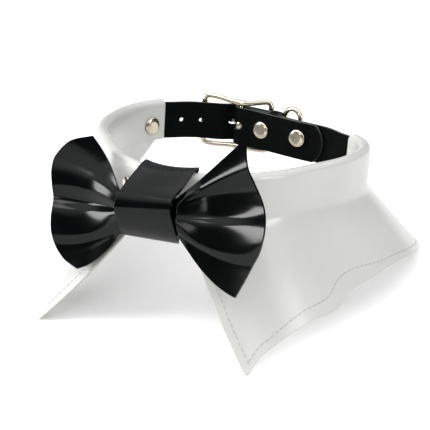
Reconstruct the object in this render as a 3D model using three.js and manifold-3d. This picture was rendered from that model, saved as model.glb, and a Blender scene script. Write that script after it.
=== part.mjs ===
// Bow tie choker: a white folded collar on a black buckled strap, with a pleated black bow.
// Millimetres, +Z up, the front faces -Y. It stands on the two front points and the two back
// corners of its collar. Angles are in degrees round the neck, from the front towards +X.
import * as THREE from "three";
import Module from "manifold-3d";
import { mergeVertices } from "three/addons/utils/BufferGeometryUtils.js";

const wasm = await Module();
wasm.setup();

// Neck opening: inner radius of the band at even steps round the plan
const NECK_RADII = [66.5, 62, 57, 55, 60, 65, 57, 48, 48.5, 55.5, 61.5, 61.5, 60, 59, 57.5, 62.5];
const NECK_STEP = 360 / NECK_RADII.length;
const NECK_HEIGHT = 65.1;
const NECK_TILT = THREE.MathUtils.degToRad(8.7);
const PLACE = new THREE.Vector3(-2.55, 19.5, 0);

// Band and straps
const BAND_HEIGHT = 20;
const BAND_MIDDLE = -BAND_HEIGHT / 2;
const STRAP_THICKNESS = 1.6;
const GAP = 0.3;

// White collar sheet
const SHEET_THICKNESS = 1.2;
const COLLAR_END = 123.6;
const ROLL_RADIUS = 2.55;
const ROLL_CENTRE_OUT = 3.15;
const ROLL_CENTRE_UP = -1.3;
const HUG_BOTTOM_OUT = 5.7;
const HUG_BOTTOM_UP = -15;
const FLARE_BLEND = 10;
const RIGHT_SHEAR_POWER = 0.72;
const LEFT_SHEAR_POWER = 0.93;
const SEAM_OVERLAP = 0.5;
const COLLAR_COLUMNS = 22;
const BAND_ROWS = 2;
const ROLL_ROWS = 5;
const HUG_ROWS = 2;
const FLAP_ROWS = 8;

// Flap cut: at each hem angle, the length below the band and the lean from the vertical.
// The left flap stands more upright behind its point.
const FLAP_CUT = [
  { angle: 29.2, length: 69.3, lean: 38, leftLength: 69, leftLean: 38.3 },
  { angle: 33, length: 61, lean: 39, leftLength: 63, leftLean: 34.5 },
  { angle: 37, length: 57, lean: 39.8, leftLength: 59.5, leftLean: 31 },
  { angle: 42, length: 53, lean: 40, leftLength: 54, leftLean: 28 },
  { angle: 49, length: 49.2, lean: 40, leftLength: 49.2, leftLean: 26 },
  { angle: 58, length: 47.5, lean: 40, leftLength: 46, leftLean: 26 },
  { angle: 66, length: 41.8, lean: 40, leftLength: 42.5, leftLean: 27 },
  { angle: 77, length: 39.5, lean: 40, leftLength: 40, leftLean: 29 },
  { angle: 88, length: 38.5, lean: 40, leftLength: 38.5, leftLean: 32 },
  { angle: 100, length: 41, lean: 40, leftLength: 41, leftLean: 35 },
  { angle: 112, length: 46.5, lean: 39.5, leftLength: 46.5, leftLean: 38 },
  { angle: 120.6, length: 52.5, lean: 39.5, leftLength: 52.5, leftLean: 39.5 },
];

// Strap runs: middle line of the strap, as distance out from the neck radius
const TONGUE_RUN = [
  { angle: 251, out: 3 }, { angle: 241, out: 3 }, { angle: 236, out: 2.4 },
  { angle: 230, out: 1.1 }, { angle: 220, out: 1.1 }, { angle: 211, out: 1.2 },
  { angle: 206, out: 2.3 }, { angle: 202.5, out: 4.1 }, { angle: 199.5, out: 5.5 },
  { angle: 196, out: 6 }, { angle: 190, out: 5.9 }, { angle: 185.5, out: 6.3 },
  { angle: 181, out: 6.5 }, { angle: 176, out: 6.2 }, { angle: 171.3, out: 5.7 },
];
const BUCKLE_RUN = [
  { angle: 148.2, out: 1.1 }, { angle: 155, out: 1.1 }, { angle: 162, out: 1.1 },
  { angle: 168, out: 0.9 }, { angle: 174, out: 0.5 }, { angle: 181, out: 0.5 }, { angle: 188, out: 0.6 },
  { angle: 192.5, out: -0.1 }, { angle: 196, out: -0.3 }, { angle: 198, out: 0.5 },
  { angle: 198.6, out: 1.9 }, { angle: 198, out: 3.3 }, { angle: 196, out: 4.1 },
  { angle: 192.5, out: 3.8 }, { angle: 188, out: 3.1 }, { angle: 181, out: 3.2 },
  { angle: 175, out: 3.6 }, { angle: 171, out: 3.4 }, { angle: 166.5, out: 3.1 },
  { angle: 162, out: 3 }, { angle: 150, out: 3 }, { angle: 144, out: 2.5 },
  { angle: 139, out: 1.3 }, { angle: 135, out: 1.1 },
  { angle: 129, out: 1.8 }, { angle: 123, out: 2.8 }, { angle: 109, out: 3 },
];

// Hardware
const BAR = { angle: 196, out: 1.9, radius: 1 };
const RIVET_CAP_RADIUS = 4.7;
const RIVET_BACK_RADIUS = 3.6;
const RIVET_POST_RADIUS = 1.5;
const RIVET_DOME = 1.3;
const RIVET_BACK_HIGH = 0.7;
const RIVET_GAP = 0.15;
const RIVETS = [
  { name: "rivet_inner_1", angle: 181.3, up: -9.3, from: -0.45, to: 4.2 },
  { name: "rivet_inner_2", angle: 154.5, up: -8.7, from: 0.15, to: 3.95 },
  { name: "rivet_left", angle: 244.3, up: -11.5, from: -0.25, to: 3.75 },
  { name: "rivet_right", angle: 115.7, up: -11.5, from: -0.5, to: 3.75 },
];
const FRAME_RAIL = [
  { angle: 213.4, out: 4.7, high: 13.2 }, { angle: 208.5, out: 3.3, high: 13.3 },
  { angle: 202.5, out: 2.1, high: 12.5 }, { angle: 196, out: 1.9, high: 12.1 },
  { angle: 190, out: 3.8, high: 12.7 }, { angle: 185.5, out: 6.8, high: 13.3 },
  { angle: 181.7, out: 9.5, high: 13.3 },
];
const FRAME_LEFT_END = { angle: 215, out: 5, high: 10.5 };
const FRAME_RIGHT_END = { angle: 180.2, out: 10.4, high: 10.5 };
const RAIL_RADIUS = 0.95;
const END_BAR_HALF_WIDTH = 1.6;
const PRONG_RADIUS = 0.85;
const PRONG_STEPS = 24;
const PRONG_RUN = [
  { along: 0.5, out: 2 }, { along: -1.4, out: 1.5 }, { along: -2.05, out: 0 },
  { along: -1.4, out: -1.5 }, { along: 0, out: -2.05 }, { along: 1.5, out: -1.4 },
  { along: 2.6, out: 0.3 }, { along: 4.2, out: 2.6 }, { along: 6, out: 4.4 },
  { along: 9, out: 5 }, { along: 13, out: 5.1 }, { along: 18.4, out: 5.2 },
];
const HOLES = [228.2, 218.2];
const HOLE_RADIUS = 1.2;
const HOLE_STEPS = 16;
const PRONG_SLOT = { angle: 201.2, halfLength: 3.2, halfHeight: 1.7 };
const FOLD_SLOT = { angle: 196.6, length: 8.4, height: 3.2 };
const CUT_DEPTH = 14;
const TONGUE_STEPS = 42;
const BUCKLE_STEPS = 64;
const RING = { angle: 162.8, out: 6.7, up: -0.7, radius: 5, wire: 1.05 };
const TAB_WIDTH = 4.5;
const TAB_THICKNESS = 0.8;
const TAB_BOTTOM = -21;
const TAB_NEAR = 4.4;
const KEEPER = { angle: 173.8, width: 5, thickness: 0.8, low: 2.3, high: 7.3 };

// Bow: it leans back and its right side stands higher
const BOW_CENTRE = new THREE.Vector3(0, -83, 60);
const BOW_LEAN = THREE.MathUtils.degToRad(28);
const BOW_ROLL = THREE.MathUtils.degToRad(-11.7);
const BOW_YAW = THREE.MathUtils.degToRad(-2.2);
const BOW_THICKNESS = 1.6;
const BOW_ROWS = 22;
const BOW_COLUMNS = 9;
const PINCH_HALF_WIDTH = 15;
const PINCH_SQUEEZE = 0.6;
const PINCH_RISE = 1.6;
const PINCH_SET_BACK = 3;
const PINCH_UPRIGHT = 0.53;
const PINCH_THICKNESS = 5;
const PINCH_LOW = -3.4;
const PINCH_HIGH = 8;
const PINCH_LENGTH = 0.25;
const PINCH_REACH = 0.4;

// Each row is one pleat line of a wing, from the lower edge to the upper edge: its height and
// depth under the knot, then half way out and at the outer edge
const RIGHT_WING = [
  { root: -9.5, rootDeep: 0, midX: 29.2, midH: -23.3, midDeep: -0.5, endX: 44.2, endH: -32, endDeep: 0 },
  { root: -8.4, rootDeep: 0.6, midX: 31, midH: -19.3, midDeep: -1, endX: 48.3, endH: -24.8, endDeep: 0 },
  { root: -7, rootDeep: -0.8, midX: 32.8, midH: -15.4, midDeep: -1.5, endX: 51.6, endH: -18.2, endDeep: -0.4 },
  { root: -5, rootDeep: 1, midX: 34.2, midH: -11.4, midDeep: 2, endX: 54.2, endH: -13.2, endDeep: 0.5 },
  { root: -2.5, rootDeep: 1.2, midX: 35.2, midH: -6.4, midDeep: 3.2, endX: 55.6, endH: -8, endDeep: 0.9 },
  { root: 0, rootDeep: 0.4, midX: 35.6, midH: -0.6, midDeep: 1.2, endX: 56.4, endH: -2.2, endDeep: 0.5 },
  { root: 2, rootDeep: -0.8, midX: 35.4, midH: 4.4, midDeep: -2, endX: 56, endH: 4.2, endDeep: -0.4 },
  { root: 4, rootDeep: -1, midX: 34, midH: 10.2, midDeep: -2.4, endX: 53.6, endH: 11, endDeep: -0.6 },
  { root: 5.6, rootDeep: 0.2, midX: 32.2, midH: 15.6, midDeep: 0.4, endX: 49, endH: 18.8, endDeep: 0 },
  { root: 7.6, rootDeep: 1, midX: 30.6, midH: 19.2, midDeep: 2.4, endX: 45.9, endH: 27, endDeep: 0.6 },
  { root: 10, rootDeep: 0, midX: 29, midH: 21.2, midDeep: 1, endX: 45.6, endH: 34.9, endDeep: 0 },
];
const LEFT_WING = [
  { root: -9, rootDeep: 1, midX: -26.4, midH: -18.5, midDeep: 0.3, endX: -37.9, endH: -24.6, endDeep: 0 },
  { root: -7, rootDeep: 0.8, midX: -29.4, midH: -15.2, midDeep: -0.5, endX: -45.2, endH: -20.7, endDeep: 0 },
  { root: -5, rootDeep: -0.8, midX: -31.6, midH: -11.8, midDeep: -1.2, endX: -50.2, endH: -15.2, endDeep: -0.3 },
  { root: -2.8, rootDeep: 0.8, midX: -33, midH: -7.8, midDeep: 1.8, endX: -53, endH: -8.6, endDeep: 0.5 },
  { root: -0.2, rootDeep: 1, midX: -33.6, midH: -3.2, midDeep: 2.6, endX: -53.6, endH: -2, endDeep: 0.8 },
  { root: 2.2, rootDeep: 0, midX: -33.8, midH: 1.6, midDeep: 0, endX: -53.4, endH: 3, endDeep: 0.2 },
  { root: 4, rootDeep: -1, midX: -33.8, midH: 6.4, midDeep: -2.6, endX: -53.1, endH: 7.6, endDeep: -0.6 },
  { root: 5.8, rootDeep: -0.8, midX: -33.4, midH: 11.6, midDeep: -1.8, endX: -53.9, endH: 14, endDeep: -0.5 },
  { root: 7.6, rootDeep: 0.2, midX: -32.4, midH: 16.4, midDeep: 0.6, endX: -54.5, endH: 20.4, endDeep: 0 },
  { root: 9.4, rootDeep: 1, midX: -30.8, midH: 20.6, midDeep: 2.8, endX: -52.6, endH: 27.4, endDeep: 0.6 },
  { root: 10.6, rootDeep: 0.6, midX: -28.2, midH: 23.6, midDeep: 2.2, endX: -45.4, endH: 33.9, endDeep: 0.4 },
  { root: 12, rootDeep: 0, midX: -24.4, midH: 25.2, midDeep: 0.8, endX: -33.4, endH: 36.3, endDeep: 0 },
];

// Woven loop round the bow and the collar's front, and the glossy band over its front, as a line
// round the middle: distance forward, height, width and how much of the bow's roll it takes
const WOVEN_RUN = [
  { y: -69.3, z: 78.6, width: 26, turn: 0.2 },
  { y: -74.5, z: 77.5, width: 26.5, turn: 0.3 },
  { y: -81, z: 74.6, width: 28, turn: 0.5 },
  { y: -86, z: 71.6, width: 28, turn: 0.75 },
  { y: -88.6, z: 67, width: 28, turn: 0.9 },
  { y: -88.2, z: 60, width: 28, turn: 0.8 },
  { y: -86.6, z: 54.5, width: 28, turn: 0.5 },
  { y: -83.4, z: 51, width: 26, turn: 0.3 },
  { y: -77.5, z: 50.4, width: 20, turn: 0.1 },
  { y: -70, z: 52.2, width: 19, turn: 0 },
  { y: -65.6, z: 53.4, width: 19, turn: 0 },
  { y: -64.3, z: 57, width: 20, turn: 0 },
  { y: -63.6, z: 65, width: 23, turn: 0 },
  { y: -63, z: 73, width: 25, turn: 0 },
  { y: -64.4, z: 77.3, width: 26, turn: 0.1 },
];
const WOVEN_THICKNESS = 0.9;
const KNOT_EXTRA_WIDTH = 1.5;
const NECK_FRONT_CURVE = 28;
const KNOT_THICKNESS = 1;
const KNOT_GAP = 0.3;
const KNOT_FROM = 0.7;
const KNOT_TO = 8.6;
const BEND_START = -72;
const BEND_END = -86;
const STRIP_COLUMNS = 4;
const WOVEN_STEPS = 32;
const KNOT_STEPS = 18;

// Snap at the knot's left
const SNAP = { x: -19.9, y: -72.9, z: 67.5, radius: 3.2, high: 1.6 };

const VINYL_WHITE = { color: 0xf0f0ee, roughness: 0.25, metalness: 0 };
const VINYL_BLACK = { color: 0x141818, roughness: 0.22, metalness: 0 };
const STRAP_BLACK = { color: 0x16191a, roughness: 0.42, metalness: 0 };
const WEAVE_BLACK = { color: 0x1b1c1f, roughness: 0.8, metalness: 0 };
const NICKEL = { color: 0xc9c5bc, roughness: 0.22, metalness: 1 };

const part = new THREE.Group();
part.name = "bow_tie_choker";

// Curves through tables

function catmull(a, b, c, d, t) {
  const slopeB = (c - a) / 2;
  const slopeC = (d - b) / 2;
  const t2 = t * t;
  const t3 = t2 * t;
  return (2 * t3 - 3 * t2 + 1) * b + (t3 - 2 * t2 + t) * slopeB + (3 * t2 - 2 * t3) * c + (t3 - t2) * slopeC;
}

function neckRadius(angle) {
  const count = NECK_RADII.length;
  const place = (((angle / NECK_STEP) % count) + count) % count;
  const first = Math.floor(place);
  const at = (offset) => NECK_RADII[(first + offset + count) % count];
  return catmull(at(-1), at(0), at(1), at(2), place - first);
}

// Value of one column of a table at a fraction 0 to 1 of its length, smoothly
function rowValue(table, column, fraction) {
  const last = table.length - 1;
  const place = THREE.MathUtils.clamp(fraction, 0, 1) * last;
  const first = Math.min(Math.floor(place), last - 1);
  const at = (row) => table[THREE.MathUtils.clamp(row, 0, last)][column];
  return catmull(at(first - 1), at(first), at(first + 1), at(first + 2), place - first);
}

// Value of one column at an angle, straight between the rows
function angleValue(table, column, angle) {
  let row = 1;
  while (row < table.length - 1 && table[row].angle < angle) {
    row += 1;
  }
  const before = table[row - 1];
  const after = table[row];
  const share = THREE.MathUtils.clamp((angle - before.angle) / (after.angle - before.angle), 0, 1);
  return THREE.MathUtils.lerp(before[column], after[column], share);
}

// From the band's own plane to the standing choker
function stand(point) {
  return point
    .applyAxisAngle(new THREE.Vector3(1, 0, 0), -NECK_TILT)
    .add(new THREE.Vector3(0, 0, NECK_HEIGHT))
    .add(PLACE);
}

function planPoint(angle, out) {
  const turn = THREE.MathUtils.degToRad(angle);
  const radius = neckRadius(angle) + out;
  return new THREE.Vector2(radius * Math.sin(turn), -radius * Math.cos(turn));
}

function bandPoint(angle, out, up) {
  const plan = planPoint(angle, out);
  return stand(new THREE.Vector3(plan.x, plan.y, up));
}

// Place on the band with its own axes: x along the band, y up, z outwards
function bandFrame(angle, out, up) {
  const along = bandPoint(angle + 1, out, up).sub(bandPoint(angle - 1, out, up)).normalize();
  const upward = new THREE.Vector3(0, 0, 1).applyAxisAngle(new THREE.Vector3(1, 0, 0), -NECK_TILT);
  const outward = new THREE.Vector3().crossVectors(along, upward).normalize();
  const matrix = new THREE.Matrix4().makeBasis(along, upward, outward);
  return matrix.setPosition(bandPoint(angle, out, up));
}

// Solids

function geometryFrom(positions, triangles) {
  const geometry = new THREE.BufferGeometry();
  geometry.setAttribute("position", new THREE.Float32BufferAttribute(positions, 3));
  geometry.setIndex(triangles);
  return geometry;
}

function signedVolume(positions, triangles) {
  const corner = (index) => new THREE.Vector3().fromArray(positions, index * 3);
  let sum = 0;
  for (let i = 0; i < triangles.length; i += 3) {
    const a = corner(triangles[i]);
    const b = corner(triangles[i + 1]);
    const c = corner(triangles[i + 2]);
    sum += a.dot(b.cross(c)) / 6;
  }
  return sum;
}

// Closed body between a front and a back grid of points. A loop joins its last row to its first.
function shell(front, back, loop = false) {
  const rows = front.length;
  const columns = front[0].length;
  const positions = [];
  for (const grid of [front, back]) {
    for (const row of grid) {
      for (const point of row) {
        positions.push(point.x, point.y, point.z);
      }
    }
  }
  const index = (side, row, column) => side * rows * columns + (row % rows) * columns + column;
  const triangles = [];
  const quad = (a, b, c, d) => triangles.push(a, b, c, a, c, d);
  const steps = loop ? rows : rows - 1;
  for (let r = 0; r < steps; r += 1) {
    for (let c = 0; c < columns - 1; c += 1) {
      quad(index(0, r, c), index(0, r, c + 1), index(0, r + 1, c + 1), index(0, r + 1, c));
      quad(index(1, r, c), index(1, r + 1, c), index(1, r + 1, c + 1), index(1, r, c + 1));
    }
    const end = columns - 1;
    quad(index(0, r, 0), index(0, r + 1, 0), index(1, r + 1, 0), index(1, r, 0));
    quad(index(0, r, end), index(1, r, end), index(1, r + 1, end), index(0, r + 1, end));
  }
  if (!loop) {
    const last = rows - 1;
    for (let c = 0; c < columns - 1; c += 1) {
      quad(index(0, 0, c), index(1, 0, c), index(1, 0, c + 1), index(0, 0, c + 1));
      quad(index(0, last, c), index(0, last, c + 1), index(1, last, c + 1), index(1, last, c));
    }
  }
  if (signedVolume(positions, triangles) < 0) {
    triangles.reverse();
  }
  return geometryFrom(positions, triangles);
}

// Round or flattened bar along stations, each with a centre, two half-axes and a middle
function bar(stations, sides, closed) {
  const positions = [];
  for (const station of stations) {
    for (let k = 0; k < sides; k += 1) {
      const turn = (2 * Math.PI * k) / sides;
      const point = station.centre.clone();
      point.addScaledVector(station.first, Math.cos(turn));
      point.addScaledVector(station.second, Math.sin(turn));
      positions.push(point.x, point.y, point.z);
    }
  }
  const count = stations.length;
  const index = (row, side) => (row % count) * sides + (side % sides);
  const triangles = [];
  const steps = closed ? count : count - 1;
  for (let r = 0; r < steps; r += 1) {
    for (let k = 0; k < sides; k += 1) {
      triangles.push(index(r, k), index(r, k + 1), index(r + 1, k + 1));
      triangles.push(index(r, k), index(r + 1, k + 1), index(r + 1, k));
    }
  }
  if (!closed) {
    for (let k = 1; k < sides - 1; k += 1) {
      triangles.push(index(0, 0), index(0, k + 1), index(0, k));
      triangles.push(index(count - 1, 0), index(count - 1, k), index(count - 1, k + 1));
    }
  }
  if (signedVolume(positions, triangles) < 0) {
    triangles.reverse();
  }
  return geometryFrom(positions, triangles);
}

function toSolid(geometry) {
  const plain = geometry.clone();
  plain.deleteAttribute("normal");
  plain.deleteAttribute("uv");
  const merged = mergeVertices(plain, 1e-4);
  return new wasm.Manifold(
    new wasm.Mesh({
      numProp: 3,
      vertProperties: new Float32Array(merged.attributes.position.array),
      triVerts: new Uint32Array(merged.index.array),
    })
  );
}

function fromSolid(solid) {
  const mesh = solid.getMesh();
  const positions = [];
  for (let i = 0; i < mesh.numVert; i += 1) {
    const start = i * mesh.numProp;
    positions.push(...mesh.vertProperties.slice(start, start + 3));
  }
  return geometryFrom(positions, Array.from(mesh.triVerts));
}

function addPiece(name, geometry, look) {
  const shown = geometry.clone();
  shown.computeVertexNormals();
  const mesh = new THREE.Mesh(shown, new THREE.MeshStandardMaterial(look));
  mesh.name = name;
  part.add(mesh);
}

// White collar

function flapDirection(angle, lean) {
  const turn = THREE.MathUtils.degToRad(angle);
  const slope = THREE.MathUtils.degToRad(lean);
  const out = Math.sin(slope);
  return new THREE.Vector3(out * Math.sin(turn), -out * Math.cos(turn), -Math.cos(slope));
}

// Middle of the sheet on one side. share runs from the front to the back end of the collar.
function collarPoint(side, share, stage, step) {
  const topAngle = side * THREE.MathUtils.lerp(-SEAM_OVERLAP, COLLAR_END, share);
  const inner = SHEET_THICKNESS / 2;
  if (stage === "band") {
    return bandPoint(topAngle, inner, THREE.MathUtils.lerp(-BAND_HEIGHT, ROLL_CENTRE_UP, step));
  }
  if (stage === "roll") {
    const turn = Math.PI * (1 - step);
    const out = ROLL_CENTRE_OUT + ROLL_RADIUS * Math.cos(turn);
    return bandPoint(topAngle, out, ROLL_CENTRE_UP + ROLL_RADIUS * Math.sin(turn));
  }
  const firstCut = FLAP_CUT[0].angle;
  const lastCut = FLAP_CUT[FLAP_CUT.length - 1].angle;
  const hemAngle = THREE.MathUtils.lerp(firstCut, lastCut, share);
  const below = angleValue(FLAP_CUT, side > 0 ? "length" : "leftLength", hemAngle) + FLARE_BLEND / 2;
  const hug = ROLL_CENTRE_UP - HUG_BOTTOM_UP;
  const travelled = stage === "hug" ? hug * step : hug + below * step;
  const power = side > 0 ? RIGHT_SHEAR_POWER : LEFT_SHEAR_POWER;
  const spread = Math.pow(travelled / (hug + below), power);
  const angle = THREE.MathUtils.lerp(topAngle, side * hemAngle, spread);
  const rollOut = ROLL_CENTRE_OUT + ROLL_RADIUS;
  if (stage === "hug") {
    const up = THREE.MathUtils.lerp(ROLL_CENTRE_UP, HUG_BOTTOM_UP, step);
    return bandPoint(angle, THREE.MathUtils.lerp(rollOut, HUG_BOTTOM_OUT, step), up);
  }
  const fallen = below * step;
  const blend = Math.min(fallen / FLARE_BLEND, 1);
  const leaning = FLARE_BLEND * (blend * blend * blend - Math.pow(blend, 4) / 2);
  const straight = FLARE_BLEND * blend - leaning;
  const past = Math.max(fallen - FLARE_BLEND, 0);
  const start = bandPoint(angle, HUG_BOTTOM_OUT, HUG_BOTTOM_UP - straight);
  const lean = angleValue(FLAP_CUT, side > 0 ? "lean" : "leftLean", side * angle);
  return start.addScaledVector(flapDirection(angle, lean), leaning + past);
}

function collarRows() {
  const rows = [];
  const addStage = (stage, count) => {
    for (let i = 0; i < count; i += 1) {
      rows.push({ stage, step: i / count });
    }
  };
  addStage("band", BAND_ROWS);
  addStage("roll", ROLL_ROWS);
  addStage("hug", HUG_ROWS);
  addStage("flap", FLAP_ROWS);
  rows.push({ stage: "flap", step: 1 });
  return rows;
}

function collarHalf(side) {
  const rows = collarRows();
  const middle = [];
  for (let c = 0; c <= COLLAR_COLUMNS; c += 1) {
    middle.push(rows.map((row) => collarPoint(side, c / COLLAR_COLUMNS, row.stage, row.step)));
  }
  const front = [];
  const back = [];
  for (let c = 0; c <= COLLAR_COLUMNS; c += 1) {
    front.push([]);
    back.push([]);
    for (let r = 0; r < rows.length; r += 1) {
      const nextColumn = middle[Math.min(c + 1, COLLAR_COLUMNS)][r];
      const lastColumn = middle[Math.max(c - 1, 0)][r];
      const nextRow = middle[c][Math.min(r + 1, rows.length - 1)];
      const lastRow = middle[c][Math.max(r - 1, 0)];
      const across = nextColumn.clone().sub(lastColumn);
      const normal = across.cross(nextRow.clone().sub(lastRow)).normalize();
      const half = SHEET_THICKNESS / 2;
      front[c].push(middle[c][r].clone().addScaledVector(normal, half));
      back[c].push(middle[c][r].clone().addScaledVector(normal, -half));
    }
  }
  return toSolid(shell(front, back));
}

function rivetPost(rivet, radius) {
  const length = 14;
  const geometry = new THREE.CylinderGeometry(radius, radius, length, 16);
  geometry.rotateX(Math.PI / 2);
  geometry.applyMatrix4(bandFrame(rivet.angle, 0, rivet.up));
  return geometry;
}

function underFloor() {
  const size = 400;
  const floor = new THREE.BoxGeometry(size, size, size);
  floor.translate(0, 0, -size / 2);
  return floor;
}

function holeFor(name) {
  const rivet = RIVETS.find((entry) => entry.name === name);
  const geometry = new THREE.CylinderGeometry(RIVET_POST_RADIUS + GAP, RIVET_POST_RADIUS + GAP, 4, 16);
  geometry.rotateX(Math.PI / 2);
  geometry.applyMatrix4(bandFrame(rivet.angle, 1, rivet.up));
  return toSolid(geometry);
}

function addCollar() {
  let collar = collarHalf(1).add(collarHalf(-1));
  collar = collar.subtract(toSolid(underFloor()));
  collar = collar.subtract(holeFor("rivet_left")).subtract(holeFor("rivet_right"));
  addPiece("collar", fromSolid(collar), VINYL_WHITE);
}

// Straps

function stripOutline(points, thickness) {
  const left = [];
  const right = [];
  const last = points.length - 1;
  points.forEach((point, i) => {
    const along = points[Math.min(i + 1, last)].clone().sub(points[Math.max(i - 1, 0)]).normalize();
    const across = new THREE.Vector2(-along.y, along.x).multiplyScalar(thickness / 2);
    left.push(point.clone().add(across));
    right.push(point.clone().sub(across));
  });
  return left.concat(right.reverse());
}

function strapSolid(run, segments) {
  const line = [];
  for (let i = 0; i <= segments; i += 1) {
    const share = i / segments;
    line.push(planPoint(rowValue(run, "angle", share), rowValue(run, "out", share)));
  }
  const outline = stripOutline(line, STRAP_THICKNESS);
  const geometry = new THREE.ExtrudeGeometry(new THREE.Shape(outline), {
    depth: BAND_HEIGHT,
    bevelEnabled: false,
  });
  geometry.translate(0, 0, -BAND_HEIGHT);
  geometry.rotateX(-NECK_TILT);
  geometry.translate(PLACE.x, PLACE.y, PLACE.z + NECK_HEIGHT);
  return toSolid(geometry);
}

function punch(angle, up, alongRadius, upRadius) {
  const geometry = new THREE.CylinderGeometry(1, 1, CUT_DEPTH, HOLE_STEPS);
  geometry.rotateX(Math.PI / 2);
  geometry.scale(alongRadius, upRadius, 1);
  geometry.applyMatrix4(bandFrame(angle, 2, up));
  return toSolid(geometry);
}

function addStraps() {
  let tongue = strapSolid(TONGUE_RUN, TONGUE_STEPS);
  for (const angle of HOLES) {
    tongue = tongue.subtract(punch(angle, BAND_MIDDLE, HOLE_RADIUS, HOLE_RADIUS));
  }
  tongue = tongue.subtract(punch(PRONG_SLOT.angle, BAND_MIDDLE, PRONG_SLOT.halfLength, PRONG_SLOT.halfHeight));
  tongue = tongue.subtract(toSolid(rivetPost(RIVETS[2], RIVET_POST_RADIUS + GAP)));
  addPiece("strap_tongue", fromSolid(tongue), STRAP_BLACK);

  let buckle = strapSolid(BUCKLE_RUN, BUCKLE_STEPS);
  const slot = new THREE.BoxGeometry(FOLD_SLOT.length, FOLD_SLOT.height, CUT_DEPTH);
  slot.applyMatrix4(bandFrame(FOLD_SLOT.angle, BAR.out, BAND_MIDDLE));
  buckle = buckle.subtract(toSolid(slot));
  for (const rivet of [RIVETS[0], RIVETS[1], RIVETS[3]]) {
    buckle = buckle.subtract(toSolid(rivetPost(rivet, RIVET_POST_RADIUS + GAP)));
  }
  addPiece("strap_buckle", fromSolid(buckle), STRAP_BLACK);
}

// Keeper: a loop round the buckle strap and the tongue's end
function addKeeper() {
  const { low, high } = KEEPER;
  const half = BAND_HEIGHT / 2 + GAP;
  const rim = KEEPER.thickness;
  const outer = new THREE.BoxGeometry(KEEPER.width, 2 * (half + rim), high - low + 2 * rim);
  const inner = new THREE.BoxGeometry(KEEPER.width * 2, 2 * half, high - low);
  const loop = toSolid(outer).subtract(toSolid(inner));
  const geometry = fromSolid(loop);
  geometry.applyMatrix4(bandFrame(KEEPER.angle, (low + high) / 2, BAND_MIDDLE));
  addPiece("keeper", geometry, STRAP_BLACK);
}

// Rivets: a domed cap on the neck side, a post and a flatter cap on the outside
function addRivets() {
  for (const rivet of RIVETS) {
    const cap = RIVET_CAP_RADIUS;
    const start = rivet.from - RIVET_GAP;
    const finish = rivet.to + RIVET_GAP;
    const profile = [
      new THREE.Vector2(0, start - RIVET_DOME),
      new THREE.Vector2(cap * 0.75, start - RIVET_DOME * 0.85),
      new THREE.Vector2(cap * 0.95, start - RIVET_DOME * 0.5),
      new THREE.Vector2(cap, start - RIVET_DOME * 0.2),
      new THREE.Vector2(cap * 0.97, start),
      new THREE.Vector2(RIVET_POST_RADIUS, start),
      new THREE.Vector2(RIVET_POST_RADIUS, finish),
      new THREE.Vector2(RIVET_BACK_RADIUS, finish),
      new THREE.Vector2(RIVET_BACK_RADIUS, finish + RIVET_BACK_HIGH / 2),
      new THREE.Vector2(RIVET_BACK_RADIUS * 0.7, finish + RIVET_BACK_HIGH * 0.9),
      new THREE.Vector2(0, finish + RIVET_BACK_HIGH),
    ];
    const geometry = new THREE.LatheGeometry(profile, 12);
    geometry.rotateX(Math.PI / 2);
    geometry.applyMatrix4(bandFrame(rivet.angle, 0, rivet.up));
    addPiece(rivet.name, fromSolid(toSolid(geometry)), NICKEL);
  }
}

// Buckle

function frameStations() {
  const upper = FRAME_RAIL.map((row) => ({ ...row }));
  const right = [FRAME_RIGHT_END, { ...FRAME_RIGHT_END, high: 0 }, { ...FRAME_RIGHT_END, high: -FRAME_RIGHT_END.high }];
  const lower = FRAME_RAIL.map((row) => ({ ...row, high: -row.high })).reverse();
  const left = [{ ...FRAME_LEFT_END, high: -FRAME_LEFT_END.high }, { ...FRAME_LEFT_END, high: 0 }, FRAME_LEFT_END];
  const all = [...upper, ...right, ...lower, ...left];
  const curve = new THREE.CatmullRomCurve3(
    all.map((row) => bandPoint(row.angle, row.out, BAND_MIDDLE + row.high)),
    true,
    "centripetal"
  );
  const steps = 44;
  const middle = bandFrame(BAR.angle, BAR.out, BAND_MIDDLE);
  const inverse = middle.clone().invert();
  const stations = [];
  for (let i = 0; i < steps; i += 1) {
    const centre = curve.getPointAt(i / steps);
    const along = curve.getTangentAt(i / steps);
    const local = centre.clone().applyMatrix4(inverse);
    const outward = bandFrame(BAR.angle - local.x * 0.5, 0, 0);
    const second = new THREE.Vector3().setFromMatrixColumn(outward, 2);
    const first = new THREE.Vector3().crossVectors(along, second).normalize();
    second.crossVectors(first, along).normalize();
    const bar = THREE.MathUtils.smoothstep(FRAME_LEFT_END.high + 2 - Math.abs(local.y), 0, 3);
    const half = THREE.MathUtils.lerp(RAIL_RADIUS, END_BAR_HALF_WIDTH, bar);
    stations.push({
      centre,
      first: first.multiplyScalar(half),
      second: second.multiplyScalar(RAIL_RADIUS),
    });
  }
  return stations;
}

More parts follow.
